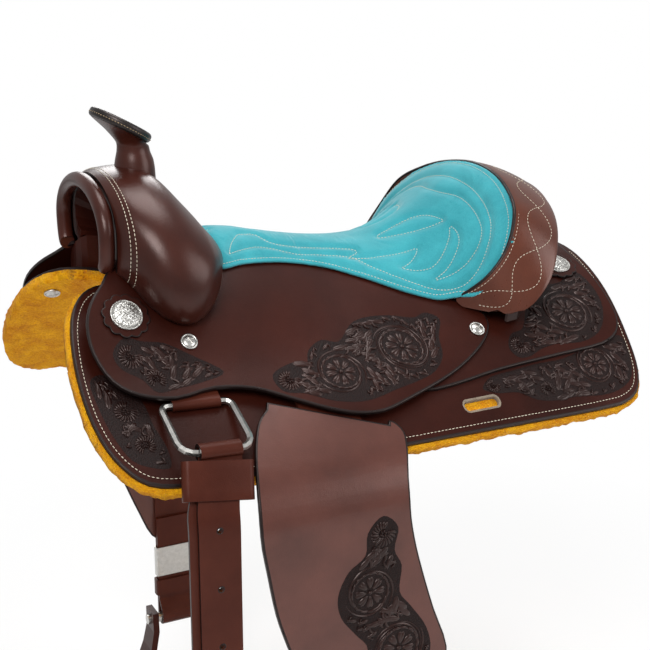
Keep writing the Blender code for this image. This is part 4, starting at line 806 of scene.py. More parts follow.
# Quilted suede seat
pad = {
    "outline": mm(
        (-143.5, 0), (-144, 40), (-145.5, 64), (-138, 71.5), (-110, 64), (-55, 56), (-10, 61),
        (30, 80), (70, 104), (105, 120), (133, 130), (152, 144), (170, 153), (188, 153),
        (205, 140), (217, 115), (226, 80), (231, 40), (232.5, 0)),
    "cell": 0.0023, "bedding": 0.0012, "edge": 0.0050, "crown": 0.0125, "channel": 0.0042,
    "crownReach": 0.045, "edgeRound": 0.0065, "channelReach": 0.0085,
    "seam": {"length": 0.0029, "width": 0.0009, "gap": 0.0040}, "seamLift": 0.0008,
    "hem": 0.0042, "puff": 0.0022, "pressure": 4.0, "frames": 18, "heldBySeam": 0.0022,
    "heldByEdge": 0.0050, "heldUnder": 0.0030,
}
padSeams = {
    "outerLoop": mm(
        (207, 0), (207, -45), (203, -84), (196, -110), (186.5, -123), (171, -130), (151, -129),
        (134, -123), (112.5, -113), (92, -102), (67, -86), (48.5, -71), (28, -52), (-11, -45),
        (-37, -45), (-66, -39), (-89, -40), (-126, -55)),
    "crownLoop": mm(
        (183, 0), (185, -16), (192, -45.5), (192, -79), (187, -104), (177, -114), (160, -115),
        (144, -112), (117, -105)),
    "innerLoop": mm(
        (118, -104), (136, -103), (153, -97.5), (163, -90), (166, -79), (163.6, -69), (156, -78),
        (142, -87), (125, -92), (109, -90), (92, -84), (84, -80)),
    "leafTop": mm(
        (84, -80), (100, -76), (112, -70), (116, -64), (95, -61), (69, -59), (49, -58), (27, -54)),
    "crescent": mm(
        (90, -18), (114, -15), (137.5, -18), (152, -29), (160, -46), (161, -55), (133.5, -43),
        (105, -31), (86, -24), (90, -18)),
    "frontLoop": mm(
        (-126, -55), (-118, -40), (-102, -20), (-90, -15.5), (-77, -14), (-64, -27), (-40, -31),
        (-5, -32), (21, -34.5), (41, -40), (41, -47), (28, -52)),
    "frontCurl": mm((-131, -5), (-136, -12), (-140, -20)),
}


def treeOf(lines, loops):
    # Finds the distance from a spot to the nearest of some seams
    points = [p for line in lines for p, along in evenPoints(line, 0.001)]
    points += [p for loop in loops for p, along in evenPoints(loop, 0.001, closed=True)]
    found = kdtree.KDTree(len(points))
    for k, point in enumerate(points):
        found.insert((point.x, point.y, 0.0), k)
    found.balance()
    return found


padPlan = wholePlan(pad["outline"], 6)
padHem = insetPath(padPlan, pad["hem"])
padLines = [smoothPath([Vector((x, flip * y)) for x, y in points], 5, closed=False)
            for points in padSeams.values() for flip in (1.0, -1.0)]
padEdgeTree = treeOf((), (padPlan,))
padSeamTree = treeOf(padLines, (padHem,))


def padLift(x, y):
    # How far the suede stands above the dished seat
    fromEdge = padEdgeTree.find((x, y, 0.0))[2]
    fromSeam = padSeamTree.find((x, y, 0.0))[2]
    crown = pad["edge"] + (pad["crown"] - pad["edge"]) * math.sqrt(
        min(1.0, fromEdge / pad["crownReach"]))
    turn = 1.0 - min(1.0, fromEdge / pad["edgeRound"])
    plump = 1.0 - min(1.0, fromSeam / pad["channelReach"])
    lift = crown * (0.30 + 0.70 * math.sqrt(1.0 - turn * turn))
    return pad["bedding"] + lift - pad["channel"] * plump ** 1.6 * min(1.0, fromEdge / 0.004)


def padSpots(line, gap, closed=False):
    lifted = [onSurface(dishHeight, p.x, p.y, padLift(p.x, p.y) + pad["seamLift"]) for p in line]
    return spotsOn(dishHeight, lifted, gap, closed)


def puffUp(piece, held):
    # Air pressure lifts the suede between its seams, as the foam does
    scene = bpy.context.scene
    start = [v.co.copy() for v in piece.data.vertices]
    group = piece.vertex_groups.new(name="held")
    group.add(held, 1.0, "REPLACE")
    cloth = piece.modifiers.new("cloth", "CLOTH")
    cloth.settings.use_pressure = True
    cloth.settings.uniform_pressure_force = pad["pressure"]
    cloth.settings.vertex_group_mass = group.name
    cloth.settings.effector_weights.gravity = 0.0
    cloth.collision_settings.use_collision = False
    for number in range(1, pad["frames"] + 1):
        scene.frame_set(number)
    ready = piece.evaluated_get(bpy.context.evaluated_depsgraph_get())
    moved = [v.co.copy() for v in ready.data.vertices]
    piece.modifiers.remove(cloth)
    piece.vertex_groups.remove(group)
    scene.frame_set(1)
    for v, old, new in zip(piece.data.vertices, start, moved):
        step = new - old
        v.co = old + step * min(1.0, pad["puff"] / max(step.length, 0.00001))


def seatPad():
    bm = flatPanel(padPlan, pad["cell"], 0.01, border=0.0, rounding=0.0)

    def place(x, y, z):
        lift = padLift(x, y) if z > -0.005 else pad["bedding"]
        return onSurface(dishHeight, x, y, lift)
    formPanel(bm, place)
    for k in range(2):
        bmesh.ops.smooth_vert(bm, verts=[v for v in bm.verts if not v.is_boundary], factor=0.35,
                              use_axis_x=False, use_axis_y=False, use_axis_z=True)
    piece = newPiece("quilted_seat", bm, ["suede"], "saddle", stands=("seat_pad",),
                     sharp=180.0)
    held = []
    for v in piece.data.vertices:
        fromSeam = padSeamTree.find((v.co.x, v.co.y, 0.0))[2]
        fromEdge = padEdgeTree.find((v.co.x, v.co.y, 0.0))[2]
        above = v.co.z - dishHeight(v.co.x, v.co.y)
        if (fromSeam < pad["heldBySeam"] or fromEdge < pad["heldByEdge"]
                or above < pad["heldUnder"]):
            held.append(v.index)
    puffUp(piece, held)
    rows = [padSpots(line, pad["seam"]["gap"]) for line in padLines]
    rows.append(padSpots(padHem, pad["seam"]["gap"], closed=True))
    stitches("seat_stitches", rows, pad["seam"])


seatPad()
print("stage: seat pad")

# Swell cover and gullet roll
swell = {
    "stations": (
        (-0.264, 0.149, 0.089, 0.081), (-0.254, 0.152, 0.110, 0.090), (-0.238, 0.154, 0.132, 0.110),
        (-0.221, 0.154, 0.143, 0.122), (-0.200, 0.146, 0.145, 0.125), (-0.178, 0.122, 0.138, 0.116),
        (-0.160, 0.100, 0.119, 0.099), (-0.148, 0.086, 0.095, 0.076)),
    "shoulder": 0.040, "leather": 0.0032, "rowOffsets": (0.0085, 0.0125),
    "rollRadius": 0.0085, "rollX": -0.2730, "rollInset": 0.0075,
}


def swellStation(x):
    # Crown height, half width and foot at x
    rows = swell["stations"]
    x = min(rows[-1][0], max(rows[0][0], x))
    k = max(i for i in range(len(rows) - 1) if rows[i][0] <= x)
    low, high = rows[k], rows[k + 1]
    before, after = rows[max(0, k - 1)], rows[min(len(rows) - 1, k + 2)]
    span = high[0] - low[0]
    return [cubic((x - low[0]) / span, low[i], high[i],
                  (high[i] - before[i]) / (high[0] - before[0]) * span,
                  (after[i] - low[i]) / (after[0] - low[0]) * span) for i in (1, 2, 3)]


def archPoint(a, halfWidth, crown, shoulderZ, foot, footZ):
    # Quarter ellipse from the crown to the shoulder, then curled in to the foot
    if a <= 0.6:
        q = a / 0.6 * math.pi / 2.0
        return halfWidth * math.sin(q), shoulderZ + (crown - shoulderZ) * math.cos(q)
    q = min(1.0, (a - 0.6) / 0.3) * math.pi / 2.0
    return (foot + (halfWidth - foot) * math.cos(q), shoulderZ - (shoulderZ - footZ) * math.sin(q))


def swellPoint(x, u, inset):
    # u runs from -1 at the near foot over the crown to 1 at the off foot
    crown, halfWidth, foot = swellStation(x)
    base = seatHeight(x, foot)
    shoulderZ = base + min(swell["shoulder"], 0.4 * (crown - base))
    y, z = archPoint(abs(u), halfWidth - inset, crown - inset, shoulderZ, foot - inset,
                     seatHeight(x, foot - inset) + 0.0006)
    return Vector((x, math.copysign(y, u), z))


def swellPiece():
    front, rear = swell["stations"][0][0], swell["stations"][-1][0]

    def place(u, v, w):
        x = front + (rear - front) * v
        s = (2.0 * u - 1.0) * 0.9
        return swellPoint(x, s, 0.0 if w > 0.5 else swell["leather"])
    newPiece("swell_leather", slabSkin(96, 44, place), ["swell", "edge"], stands=("swell_cover",))
    rows = []
    centre = Vector((front + 0.04, 0.0, 0.07))
    for offset in swell["rowOffsets"]:
        path = [swellPoint(front + offset, 0.88 * (k / 60.0 - 1.0), 0.0) for k in range(121)]
        rows.append([(p, a, (p - centre).normalized()) for p, a in evenPoints(path, seam["gap"])])
    stitches("swell_stitches", rows, seam)
    path = [swellPoint(front, 0.9 * (k / 50.0 - 1.0), swell["rollInset"]) for k in range(101)]
    rings = []
    for k, point in enumerate(path):
        across = Vector((1.0, 0.0, 0.0))
        up = travel(path, k).cross(across).normalized()
        rings.append(ringOf(Vector((swell["rollX"], point.y, point.z)), swell["rollRadius"],
                            across, up, 24))
    newPiece("gullet_binding", loftSkin(rings), ["swell"], stands=("gullet_roll",))


swellPiece()
print("stage: swell")

# Horn
horn = {
    "x": -0.2125, "neck": 0.0185, "base": 0.0225, "flare": 0.0325, "top": (-0.2295, 0.1945),
    "capRadius": 0.0365, "capThickness": 0.0110, "tilt": math.radians(29.0),
    "wrapLeather": 0.0026, "lift": 0.0003, "seam": {"length": 0.0026, "width": 0.0007},
    "seamHeight": 0.0043,
}


def lathe(profile, steps=48):
    # Turns a profile of (radius, height) points about Z
    bm = bmesh.new()
    points = [bm.verts.new((radius, 0.0, height)) for radius, height in profile]
    edges = [bm.edges.new(pair) for pair in zip(points, points[1:])]
    bmesh.ops.spin(bm, geom=points + edges, cent=(0.0, 0.0, 0.0), axis=(0.0, 0.0, 1.0),
                   angle=math.tau, steps=steps, use_merge=True)
    return turnOut(bm)


def hornSleeve():
    # The wrap's leather: out over the neck and up to the cap, then back down inside
    x, base, neck = horn["x"], horn["base"], horn["neck"]
    fine = smoothPath([Vector(station) for station in (
        (x, 0.128, base + 0.0010, 0.0), (x, 0.140, base + 0.0006, 0.0), (x, 0.152, base, 0.0),
        (x, 0.160, base - 0.0012, 0.0), (x - 0.0005, 0.170, neck, 0.10),
        (x - 0.0015, 0.178, neck, 0.35), (x - 0.0090, 0.1870, neck + 0.0055, 0.75),
        (*horn["top"], horn["flare"], 1.0))], 6, closed=False)

    def rings(inset):
        made = []
        for x, z, radius, share in fine:
            tilt = Matrix.Rotation(horn["tilt"] * share, 3, "Y")
            made.append(ringOf(Vector((x, 0.0, z)), radius - inset, tilt.col[0], tilt.col[1], 48))
        return made
    outer = rings(0.0)
    shell = outer + list(reversed(rings(horn["wrapLeather"]))) + [outer[0]]
    newPiece("horn_leather", loftSkin(shell, closed=False), ["swell"], stands=("horn_wrap",))


def hornCap():
    radius, thick, quarter = horn["capRadius"], horn["capThickness"], math.pi / 2.0
    profile = [(0.0, thick), (radius * 0.6, thick), (radius - 0.0065, thick - 0.0002)]
    profile += [(radius - 0.0045 + 0.0045 * math.sin(quarter * k / 6),
                 thick - 0.0045 + 0.0043 * math.cos(quarter * k / 6)) for k in range(7)]
    profile += [around(radius - 0.0040, 0.0040, 0.0040, -quarter * k / 5) for k in range(1, 6)]
    profile.append((0.0, 0.0))
    spot = (Matrix.Translation((horn["top"][0], 0.0, horn["top"][1]))
            @ Matrix.Rotation(horn["tilt"], 4, "Y") @ Matrix.Translation((0.0, 0.0, horn["lift"])))
    newPiece("horn_cap_leather", placed(lathe(profile, 64), spot), ["black"], "saddle",
             stands=("horn_cap",))
    row, turn = [], spot.to_3x3()
    for k in range(64):
        ray = Vector((*around(0.0, 0.0, 1.0, math.tau * k / 64), 0.0))
        point = spot @ (ray * (radius + 0.0001) + Vector((0.0, 0.0, horn["seamHeight"])))
        row.append((point, turn @ Vector((-ray.y, ray.x, 0.0)), turn @ ray))
    stitches("horn_stitches", [row], horn["seam"], "tan")


hornSleeve()
hornCap()
print("stage: horn")

# Cantle roll, sometimes called the Cheyenne roll
roll = {
    "inner": mm(  # the rail against the seat, from the crown to the corner
        (233, 0, 129), (227.5, 55, 123.8), (218.2, 99, 110.8), (204, 135.8, 89.5),
        (183.5, 152.2, 52), (158, 149, 18.5), (132.5, 129, -9)),
    "outer": mm(
        (291, 0, 108), (289, 60, 101), (279.5, 112, 82), (257, 155, 54), (227, 181, 12),
        (189, 177, -21), (140, 136.5, -17.5)),
    "thickness": 0.0120, "bulge": 0.0040, "waves": 5.0, "waveMiddle": 0.55, "waveSwing": 0.25,
    "seamShare": 0.12, "heart": Vector((0.20, 0.0, 0.02)), "beadRadius": 0.0021,
    "seam": {"length": 0.0033, "width": 0.0008},
}


def mirroredRail(points):
    # One rail of the roll from the near corner over the crown to the far corner
    half = [Vector(p) for p in points]
    flipped = [Vector((p.x, -p.y, p.z)) for p in reversed(half[1:])]
    return smoothPath(flipped + half, 8, closed=False)


def rollSections():
    inner, outer = mirroredRail(roll["inner"]), mirroredRail(roll["outer"])
    last = len(inner) - 1
    down = Vector((0.0, 0.0, -1.0))
    for k, (a, b) in enumerate(zip(inner, outer)):
        share = 1.0 - 0.72 * abs(2.0 * k / last - 1.0) ** 2
        thick, bulge = roll["thickness"] * share, roll["bulge"] * share
        yield [a.lerp(b, 0.03), a.lerp(b, 0.35) - bulge * down, a.lerp(b, 0.72) - bulge * down,
               b, b.lerp(a, 0.06) + 0.6 * thick * down, b.lerp(a, 0.35) + thick * down,
               a.lerp(b, 0.08) + thick * down]


def rollPiece():
    sections = list(rollSections())
    rings = [smoothPath(section, 4) for section in sections]
    bm = loftSkin(rings)
    for v in bm.verts:
        v.co.z = max(v.co.z, dishHeight(min(v.co.x, rimX(v.co.y)), v.co.y) - 0.02,
                     skirtHeight(v.co.x, v.co.y) + 0.0052)
    newPiece("cantle_roll_leather", bm, ["roll"], "saddle", stands=("cantle_roll",))

    def topAt(share, s):
        # A point on the roll's upper face: share across it, s along it
        k = s * (len(sections) - 1)
        i = min(len(sections) - 2, int(k))
        ends = []
        for section in (sections[i], sections[i + 1]):
            top = smoothPath(section[:4], 10, closed=False)
            spot = share * (len(top) - 1)
            j = min(len(top) - 2, int(spot))
            ends.append(top[j].lerp(top[j + 1], spot - j))
        return ends[0].lerp(ends[1], k - i)

    def spotsOf(shareAt):
        path = [topAt(shareAt(s), s) for s in (0.03 + 0.94 * k / 360 for k in range(361))]
        return [(point, along, (point - roll["heart"]).normalized())
                for point, along in evenPoints(path, seam["gap"])]
    rows = [spotsOf(lambda s: roll["seamShare"])]
    for way in (1.0, -1.0):
        rows.append(spotsOf(lambda s: roll["waveMiddle"] + way * roll["waveSwing"]
                            * math.sin(math.tau * roll["waves"] * s)))
    stitches("roll_stitches", rows, roll["seam"])
    bead = [topAt(0.0, 0.01 + 0.98 * k / 200) for k in range(201)]
    up = Vector((0.0, 0.0, 1.0))
    rings = [ringOf(point, roll["beadRadius"], travel(bead, k).cross(up).normalized(), up, 10)
             for k, point in enumerate(bead)]
    newPiece("roll_edge", loftSkin(rings), ["edge"], "saddle")


rollPiece()
print("stage: cantle roll")

# Conchos on their rosettes, and the screws
fastener = {
    "rosetteRadius": 0.0265, "rosetteLeather": 0.0022, "scallops": 12, "conchoRadius": 0.0176,
    "conchoDome": 0.0055, "screwRadius": 0.0095, "screwDome": 0.0034, "fit": 0.0003,
    "frontConcho": (-0.268, 0.118), "rearConcho": (0.309, 0.084),
    "screws": {"front": (-0.207, 0.140), "rear": (0.142, 0.160)},
    "liningScrew": (-0.292, 0.082), "liningDepth": -0.0178, "beads": 40, "beadCircle": 0.80,
    "beadLift": 0.0033, "beadRadius": 0.00085, "crossWidth": 0.0013, "crossDepth": 0.0018,
}


def surfaceFrame(height, x, y, t, flip=1.0):
    up = normalAt(height, x, y) * flip
    along = Vector((1.0, 0.0, 0.0))
    along = (along - along.dot(up) * up).normalized()
    turn = Matrix((along, up.cross(along), up)).transposed().to_4x4()
    return Matrix.Translation(onSurface(height, x, y, t)) @ turn


def domeProfile(radius, height, edge, rim, steps=8):
    # A dome with a raised ring along its edge
    profile = [(0.0, height)]
    for k in range(1, steps + 1):
        a = math.pi / 2.0 * k / steps
        profile.append(((radius - 2.0 * rim) * math.sin(a), edge + (height - edge) * math.cos(a)))
    for k in range(7):
        a = math.pi * k / 6
        profile.append((radius - rim - rim * math.cos(a), edge + rim * math.sin(a)))
    return profile + [(radius, 0.0), (0.0, 0.0)]


def rosettePiece(name, spot, node):
    outline = []
    for k in range(fastener["scallops"] * 8):
        a = math.tau * k / (fastener["scallops"] * 8)
        lobe = abs(math.sin(a * fastener["scallops"] / 2.0))
        size = fastener["rosetteRadius"] * (0.90 + 0.10 * lobe)
        outline.append(Vector(around(0.0, 0.0, size, a)))
    bm = flatPanel(outline, 0.012, fastener["rosetteLeather"], border=0.0012, rounding=0.0006)
    top = Matrix.Translation((0.0, 0.0, fastener["rosetteLeather"]))
    newPiece(name, placed(bm, spot @ top), ["brown", "edge"], stands=(node,))


def conchoPiece(name, spot, node):
    radius, dome = fastener["conchoRadius"], fastener["conchoDome"]
    bm = lathe(domeProfile(radius, dome, 0.0012, 0.0009), 48)
    beads, count = bmesh.new(), fastener["beads"]
    for k in range(count):  # beads inside the rim
        place = Matrix.Translation((*around(0.0, 0.0, fastener["beadCircle"] * radius,
                                            math.tau * k / count), fastener["beadLift"]))
        bmesh.ops.create_uvsphere(beads, u_segments=8, v_segments=5,
                                  radius=fastener["beadRadius"], matrix=place)
    pourInto(bm, beads)
    petals = bmesh.new()
    for ring, count, reach, width in ((0.10, 8, 0.34, 0.20), (0.44, 14, 0.26, 0.13)):
        for k in range(count):
            a = math.tau * (k + ring) / count
            addLobe(petals, around(0.0, 0.0, ring * radius, a), a, reach * radius,
                    width * radius, 0.0007, tip=0.6)
    for v in petals.verts:
        out = min(1.0, v.co.xy.length / (radius * 0.9))
        v.co.z += 0.0010 + (dome - 0.0012) * math.sqrt(1.0 - out * out)
    pourInto(bm, petals)
    newPiece(name, placed(bm, spot), ["concho"], stands=(node,))


def screwPiece(name, spot, node):
    radius, dome = fastener["screwRadius"], fastener["screwDome"]
    bm = lathe(domeProfile(radius, dome, 0.0008, 0.0011), 36)
    for turn in (0.4, 0.4 + math.pi / 2.0):
        tool = bmesh.new()
        bmesh.ops.create_cube(tool, size=1.0, matrix=Matrix.Translation((0.0, 0.0, dome))
                              @ Matrix.Rotation(turn, 4, "Z")
                              @ Matrix.Diagonal((radius * 0.95, fastener["crossWidth"],
                                                 fastener["crossDepth"], 1.0)))
        cutThrough(bm, tool)
    newPiece(name, placed(bm, spot), ["nickel"], stands=(node,), sharp=35.0)


for label, side in sides.items():
    for end, height, base in (("front", seatHeight, 0.0), ("rear", skirtHeight, rearJockey["top"])):
        x, y = fastener[end + "Concho"]
        spot = surfaceFrame(height, x, side * y, base + 2.0 * fastener["fit"])
        rosettePiece(end + "_rosette_leather_" + label, spot, end + "_rosette_" + label)
        lift = fastener["rosetteLeather"] + fastener["fit"]
        conchoPiece(end + "_concho_metal_" + label, spot @ Matrix.Translation((0.0, 0.0, lift)),
                    end + "_concho_" + label)
        x, y = fastener["screws"][end]
        screwPiece("screw_" + end + "_" + label, surfaceFrame(seatHeight, x, side * y, 0.0005),
                   "jockey_screw_" + end + "_" + label)
    x, y = fastener["liningScrew"]
    screwPiece("screw_lining_" + label, surfaceFrame(skirtHeight, x, side * y,
               fastener["liningDepth"], flip=-1.0), "lining_screw_" + label)
print("stage: conchos and screws")

# Rigging straps, latigo and its wrap
rigging = {
    "x": -0.2190, "wire": 0.0036, "halfWidth": 0.0385, "drop": 0.0700, "barY": 0.1815,
    "barLift": 0.0052, "slope": math.radians(25.0), "slant": 0.049, "leather": 0.0022,
    "foot": 0.0008,
}


def ringPoints():
    bar = onSurface(skirtHeight, rigging["x"], rigging["barY"], rigging["barLift"])
    down = Vector((0.0, math.cos(rigging["slope"]), -math.sin(rigging["slope"])))
    return bar, down


def riggingStrap(label, side):
    bar, down = ringPoints()
    up = Vector((0.0, -down.z, down.y))
    flip = Vector((1.0, side, 1.0))
    reach = rigging["wire"] + 0.0003 + rigging["leather"] / 2.0
    low = rigging["foot"] + rigging["leather"] / 2.0
    backs = smoothPath([Vector(p) for p in ((0.048, low), (0.034, low), (0.021, low + 0.0012),
                                            (0.010, rigging["barLift"] + reach - 0.0015))], 4,
                       closed=False)
    turns = 20
    count = len(backs) - 1 + turns
    half = rigging["halfWidth"] - 0.012

    def place(u, v, w):
        k = round(u * count)
        x = (2.0 * v - 1.0) * half
        lift = (w - 0.5) * rigging["leather"]
        if k < len(backs) - 1:
            return onSurface(skirtHeight, rigging["x"] + x, side * (rigging["barY"] - backs[k].x),
                             backs[k].y + lift)
        a = math.radians(95.0 - 140.0 * (k - len(backs) + 1) / turns)
        centre = bar + Vector((x, 0.0, -rigging["slant"] * x))
        return (centre + (reach + lift) * (math.cos(a) * down + math.sin(a) * up)) * flip
    newPiece("rigging_leather_" + label, slabSkin(count, 14, place), ["strap", "edge"], "saddle",
             stands=("rigging_strap_" + label,))


latigo = {
    "width": 0.0445, "x": -0.2320, "backShift": -0.0085, "plumbY": 0.2740, "endZ": -0.4700,
    "spacing": 0.0635, "hole": 0.0028, "firstHole": -0.1690, "holes": 4, "leather": 0.0035,
    "wrapHalf": 0.0345, "footZ": -0.1580, "wrapShare": 0.56, "wrapHeight": 0.0400,
    "wrapLeather": 0.0030, "wrapTilt": math.radians(8.0), "wrapCorner": 0.0036, "play": 0.0022,
}


def latigoPath():
    # Up the inner layer, over the ring's bow and down the outer layer
    bar, down = ringPoints()
    bow = bar + rigging["drop"] * down
    reach = rigging["wire"] + latigo["play"] + latigo["leather"] / 2.0
    gap = latigo["leather"] / 2.0 + 0.0002
    plumb = Vector((latigo["plumbY"], latigo["footZ"]))
    knot = Vector((bow.y, bow.z))
    slope = (plumb - knot).normalized()
    across = Vector((-slope.y, slope.x))
    inner, outer = [], []
    for point, way in ((Vector((latigo["plumbY"], -0.32)), Vector((1.0, 0.0))),
                       (Vector((latigo["plumbY"], -0.20)), Vector((1.0, 0.0))),
                       (plumb + Vector((0.0, -0.012)), Vector((1.0, 0.12))),
                       (plumb + Vector((-0.002, 0.004)), across),
                       (plumb.lerp(knot, 0.45), across), (plumb.lerp(knot, 0.89), across)):
        way = way.normalized()
        inner.append(point - gap * way)
        outer.append(point + gap * way)
    path = [Vector((latigo["plumbY"] - gap, latigo["endZ"] + 0.012))] + inner
    back = math.degrees(math.atan2(slope.y, slope.x))
    for k in range(9):
        path.append(Vector(around(*knot, reach, math.radians(back - 60.0 - 240.0 * k / 8))))
    path += list(reversed(outer)) + [Vector((latigo["plumbY"] + gap, latigo["endZ"]))]
    return smoothPath(path, 6, closed=False), bow


def latigoStrap(side):
    path, bow = latigoPath()
    count = len(path) - 1
    half = latigo["width"] / 2.0

    def place(u, v, w):
        k = round(u * count)
        point = path[k]
        along = travel(path, k)
        outward = Vector((along.y, -along.x)).normalized()
        rise = smoothStep(latigo["footZ"], bow.z, point.y)
        back = latigo["backShift"] if k < count / 2 else 0.0
        centre = (latigo["x"] + back) * (1.0 - rise) + rigging["x"] * rise
        x = centre + (2.0 * v - 1.0) * half
        spot = point + (w - 0.5) * latigo["leather"] * outward
        return Vector((x, side * spot.x, spot.y - rigging["slant"] * rise * (2.0 * v - 1.0) * half))
    bm = slabSkin(count, 12, place)
    rims = bmesh.new()
    hole = latigo["hole"]
    for k in range(latigo["holes"]):
        z = latigo["firstHole"] - latigo["spacing"] * k
        turn = Matrix.Translation((latigo["x"], side * latigo["plumbY"], z)) @ Matrix.Rotation(
            math.pi / 2.0, 4, "X")
        tool = bmesh.new()
        bmesh.ops.create_cone(tool, cap_ends=True, segments=24, radius1=hole, radius2=hole,
                              depth=0.06, matrix=turn)
        cutThrough(bm, tool)
        ring = lathe([(hole - 0.0001, 0.0), (hole + 0.0003, 0.0003), (hole + 0.0010, 0.0)], 24)
        outerFace = Matrix.Translation((0.0, side * (latigo["leather"] + 0.0002), 0.0))
        pourInto(rims, placed(ring, outerFace @ turn
                              @ Matrix.Rotation(0.0 if side < 0.0 else math.pi, 4, "X")))
    newPiece("latigo_leather", bm, ["strap", "edge"], "latigo", stands=("latigo",),
             sharp=40.0)
    newPiece("latigo_hole_rims", rims, ["edge"], "latigo")


def latigoKeeper(side):
    # The wrap that holds the latigo's two layers together
    bow = latigoPath()[1]
    foot = Vector((0.0, side * latigo["plumbY"], latigo["footZ"]))
    knot = Vector((0.0, side * bow.y, bow.z))
    centre = foot.lerp(knot, latigo["wrapShare"])
    centre.x = (latigo["x"] + rigging["x"]) / 2.0
    lean = -math.atan2(knot.y - foot.y, knot.z - foot.z)
    depth = latigo["leather"] + 0.0008
    turn = (Matrix.Translation(centre) @ Matrix.Rotation(lean, 4, "X")
            @ Matrix.Rotation(latigo["wrapTilt"], 4, "Y"))
    corner, loop = latigo["wrapCorner"], []
    for quarter in range(4):
        cx = (latigo["wrapHalf"] - corner) * (1.0 if quarter in (0, 3) else -1.0)
        cy = (depth - corner) * (1.0 if quarter in (0, 1) else -1.0)
        for k in range(7):
            ray = around(0.0, 0.0, 1.0, math.pi / 2.0 * (quarter + k / 6))
            loop.append((Vector((cx, cy)), Vector(ray)))
    rings = []
    for w, v in ((1.0, -0.5), (1.0, -0.25), (1.0, 0.0), (1.0, 0.25), (1.0, 0.5), (0.0, 0.5),
                 (0.0, 0.0), (0.0, -0.5), (1.0, -0.5)):
        flats = [spot + (corner + w * latigo["wrapLeather"]) * ray for spot, ray in loop]
        rings.append([turn @ Vector((p.x, p.y, v * latigo["wrapHeight"])) for p in flats])
    bm = loftSkin(rings, closed=False)
    up = turn.to_3x3() @ Vector((0.0, 0.0, 1.0))
    for f in bm.faces:
        if abs(f.normal.dot(up)) > 0.7:
            f.material_index = 1
    bmesh.ops.bevel(bm, geom=[e for e in bm.edges if len(e.link_faces) == 2
                              and e.link_faces[0].material_index != e.link_faces[1].material_index],
                    offset=0.0006, segments=2, profile=0.5, affect="EDGES", material=-1)
    newPiece("latigo_keeper", bm, ["strap", "edge"], "latigo", stands=("latigo_wrap",),
             sharp=40.0)


for label, side in sides.items():
    riggingStrap(label, side)
latigoStrap(sides["left"])
latigoKeeper(sides["left"])
print("stage: rigging and latigo")

# Fenders
fender = {
    "outline": mm(
        (-144, -8), (-158, 4), (-167, 18), (-179, 47), (-190, 89), (-193, 130), (-186, 175),
        (-177, 221), (-166, 256), (-150, 300), (-132, 345), (-114, 384), (-92, 396), (-63, 396),
        (-40, 384), (-8, 366), (22, 340), (28, 306), (10, 256), (-6, 205), (-16, 167),
        (-21.5, 132), (-20, 100), (-10, 68), (-6, 50), (-12, 36), (-20, 32)),
    "thickness": 0.0045, "cell": 0.009, "border": 0.0022, "lift": 0.0062, "bendY": 0.250,
    "startY": 0.150,
    "plumbY": 0.2885, "bendDrop": 0.062, "endZ": -0.500, "refX": -0.090, "datumY": 0.2075,
    "foldY": 0.2136, "foldSlope": 0.330,
}


def fenderCurve():
    points = []
    for k in range(13):
        y = fender["startY"] + (fender["bendY"] - fender["startY"]) * k / 12
        point = onSurface(skirtHeight, fender["refX"], y,
                          fender["lift"] + fender["thickness"] / 2.0)
        points.append(Vector((point.y, point.z)))
    start = points[-1]
    along = (points[-1] - points[-3]).normalized()
    end = Vector((fender["plumbY"], start.y - fender["bendDrop"]))
    low, high = start + along * 0.026, end + Vector((0.0, 0.026))
    for k in range(1, 17):
        s = k / 16
        points.append((1 - s) ** 3 * start + 3 * (1 - s) ** 2 * s * low
                      + 3 * (1 - s) * s * s * high + s ** 3 * end)
    for k in range(1, 10):
        points.append(Vector((fender["plumbY"], end.y + (fender["endZ"] - 0.02 - end.y) * k / 9)))
    return points


fenderPoints = fenderCurve()
fenderLengths = [0.0]
for a, b in zip(fenderPoints, fenderPoints[1:]):
    fenderLengths.append(fenderLengths[-1] + (b - a).length)
fenderTable = [(length, point.x) for length, point in zip(fenderLengths, fenderPoints)]
fenderDatum = lookUp(fenderTable, fender["datumY"], given=1)


def fenderPlace(x, s, z, side):
    # A point of the fender's blank, s along it and z above its outer face
    k = max(i for i in range(len(fenderPoints) - 1) if fenderLengths[i] <= s or i == 0)
    share = (s - fenderLengths[k]) / (fenderLengths[k + 1] - fenderLengths[k])
    before = fenderPoints[max(0, k - 1)]
    after = fenderPoints[min(len(fenderPoints) - 1, k + 2)]
    low = (fenderPoints[k + 1] - before).normalized()
    high = (after - fenderPoints[k]).normalized()
    along = low.lerp(high, min(1.0, max(0.0, share))).normalized()
    point = fenderPoints[k].lerp(fenderPoints[k + 1], share)
    point = point + (z + fender["thickness"] / 2.0) * Vector((-along.y, along.x))
    return Vector((x, side * point.x, point.y))


def fenderBlank():
    # The top edge is the fold line, which slants
    run = (fenderPoints[11] - fenderPoints[10]).normalized().x
    fold = lookUp(fenderTable, fender["foldY"], given=1)
    cut = smoothPath([Vector((x, fenderDatum + drop)) for x, drop in fender["outline"]], 3,
                     closed=False)
    for end in (0, -1):
        slant = fender["foldSlope"] * (cut[end].x - fender["refX"])
        cut[end] = Vector((cut[end].x, fold + slant / run + 0.001))
    return cut


for label, side in sides.items():
    bm = flatPanel(fenderBlank(), fender["cell"], fender["thickness"], fender["border"])
    formPanel(bm, lambda x, s, z: fenderPlace(x, s, z, side))
    newPiece("fender_leather_" + label, bm, ["fender", "edge"], "fender_" + label,
             stands=("fender_" + label,))
print("stage: fenders")

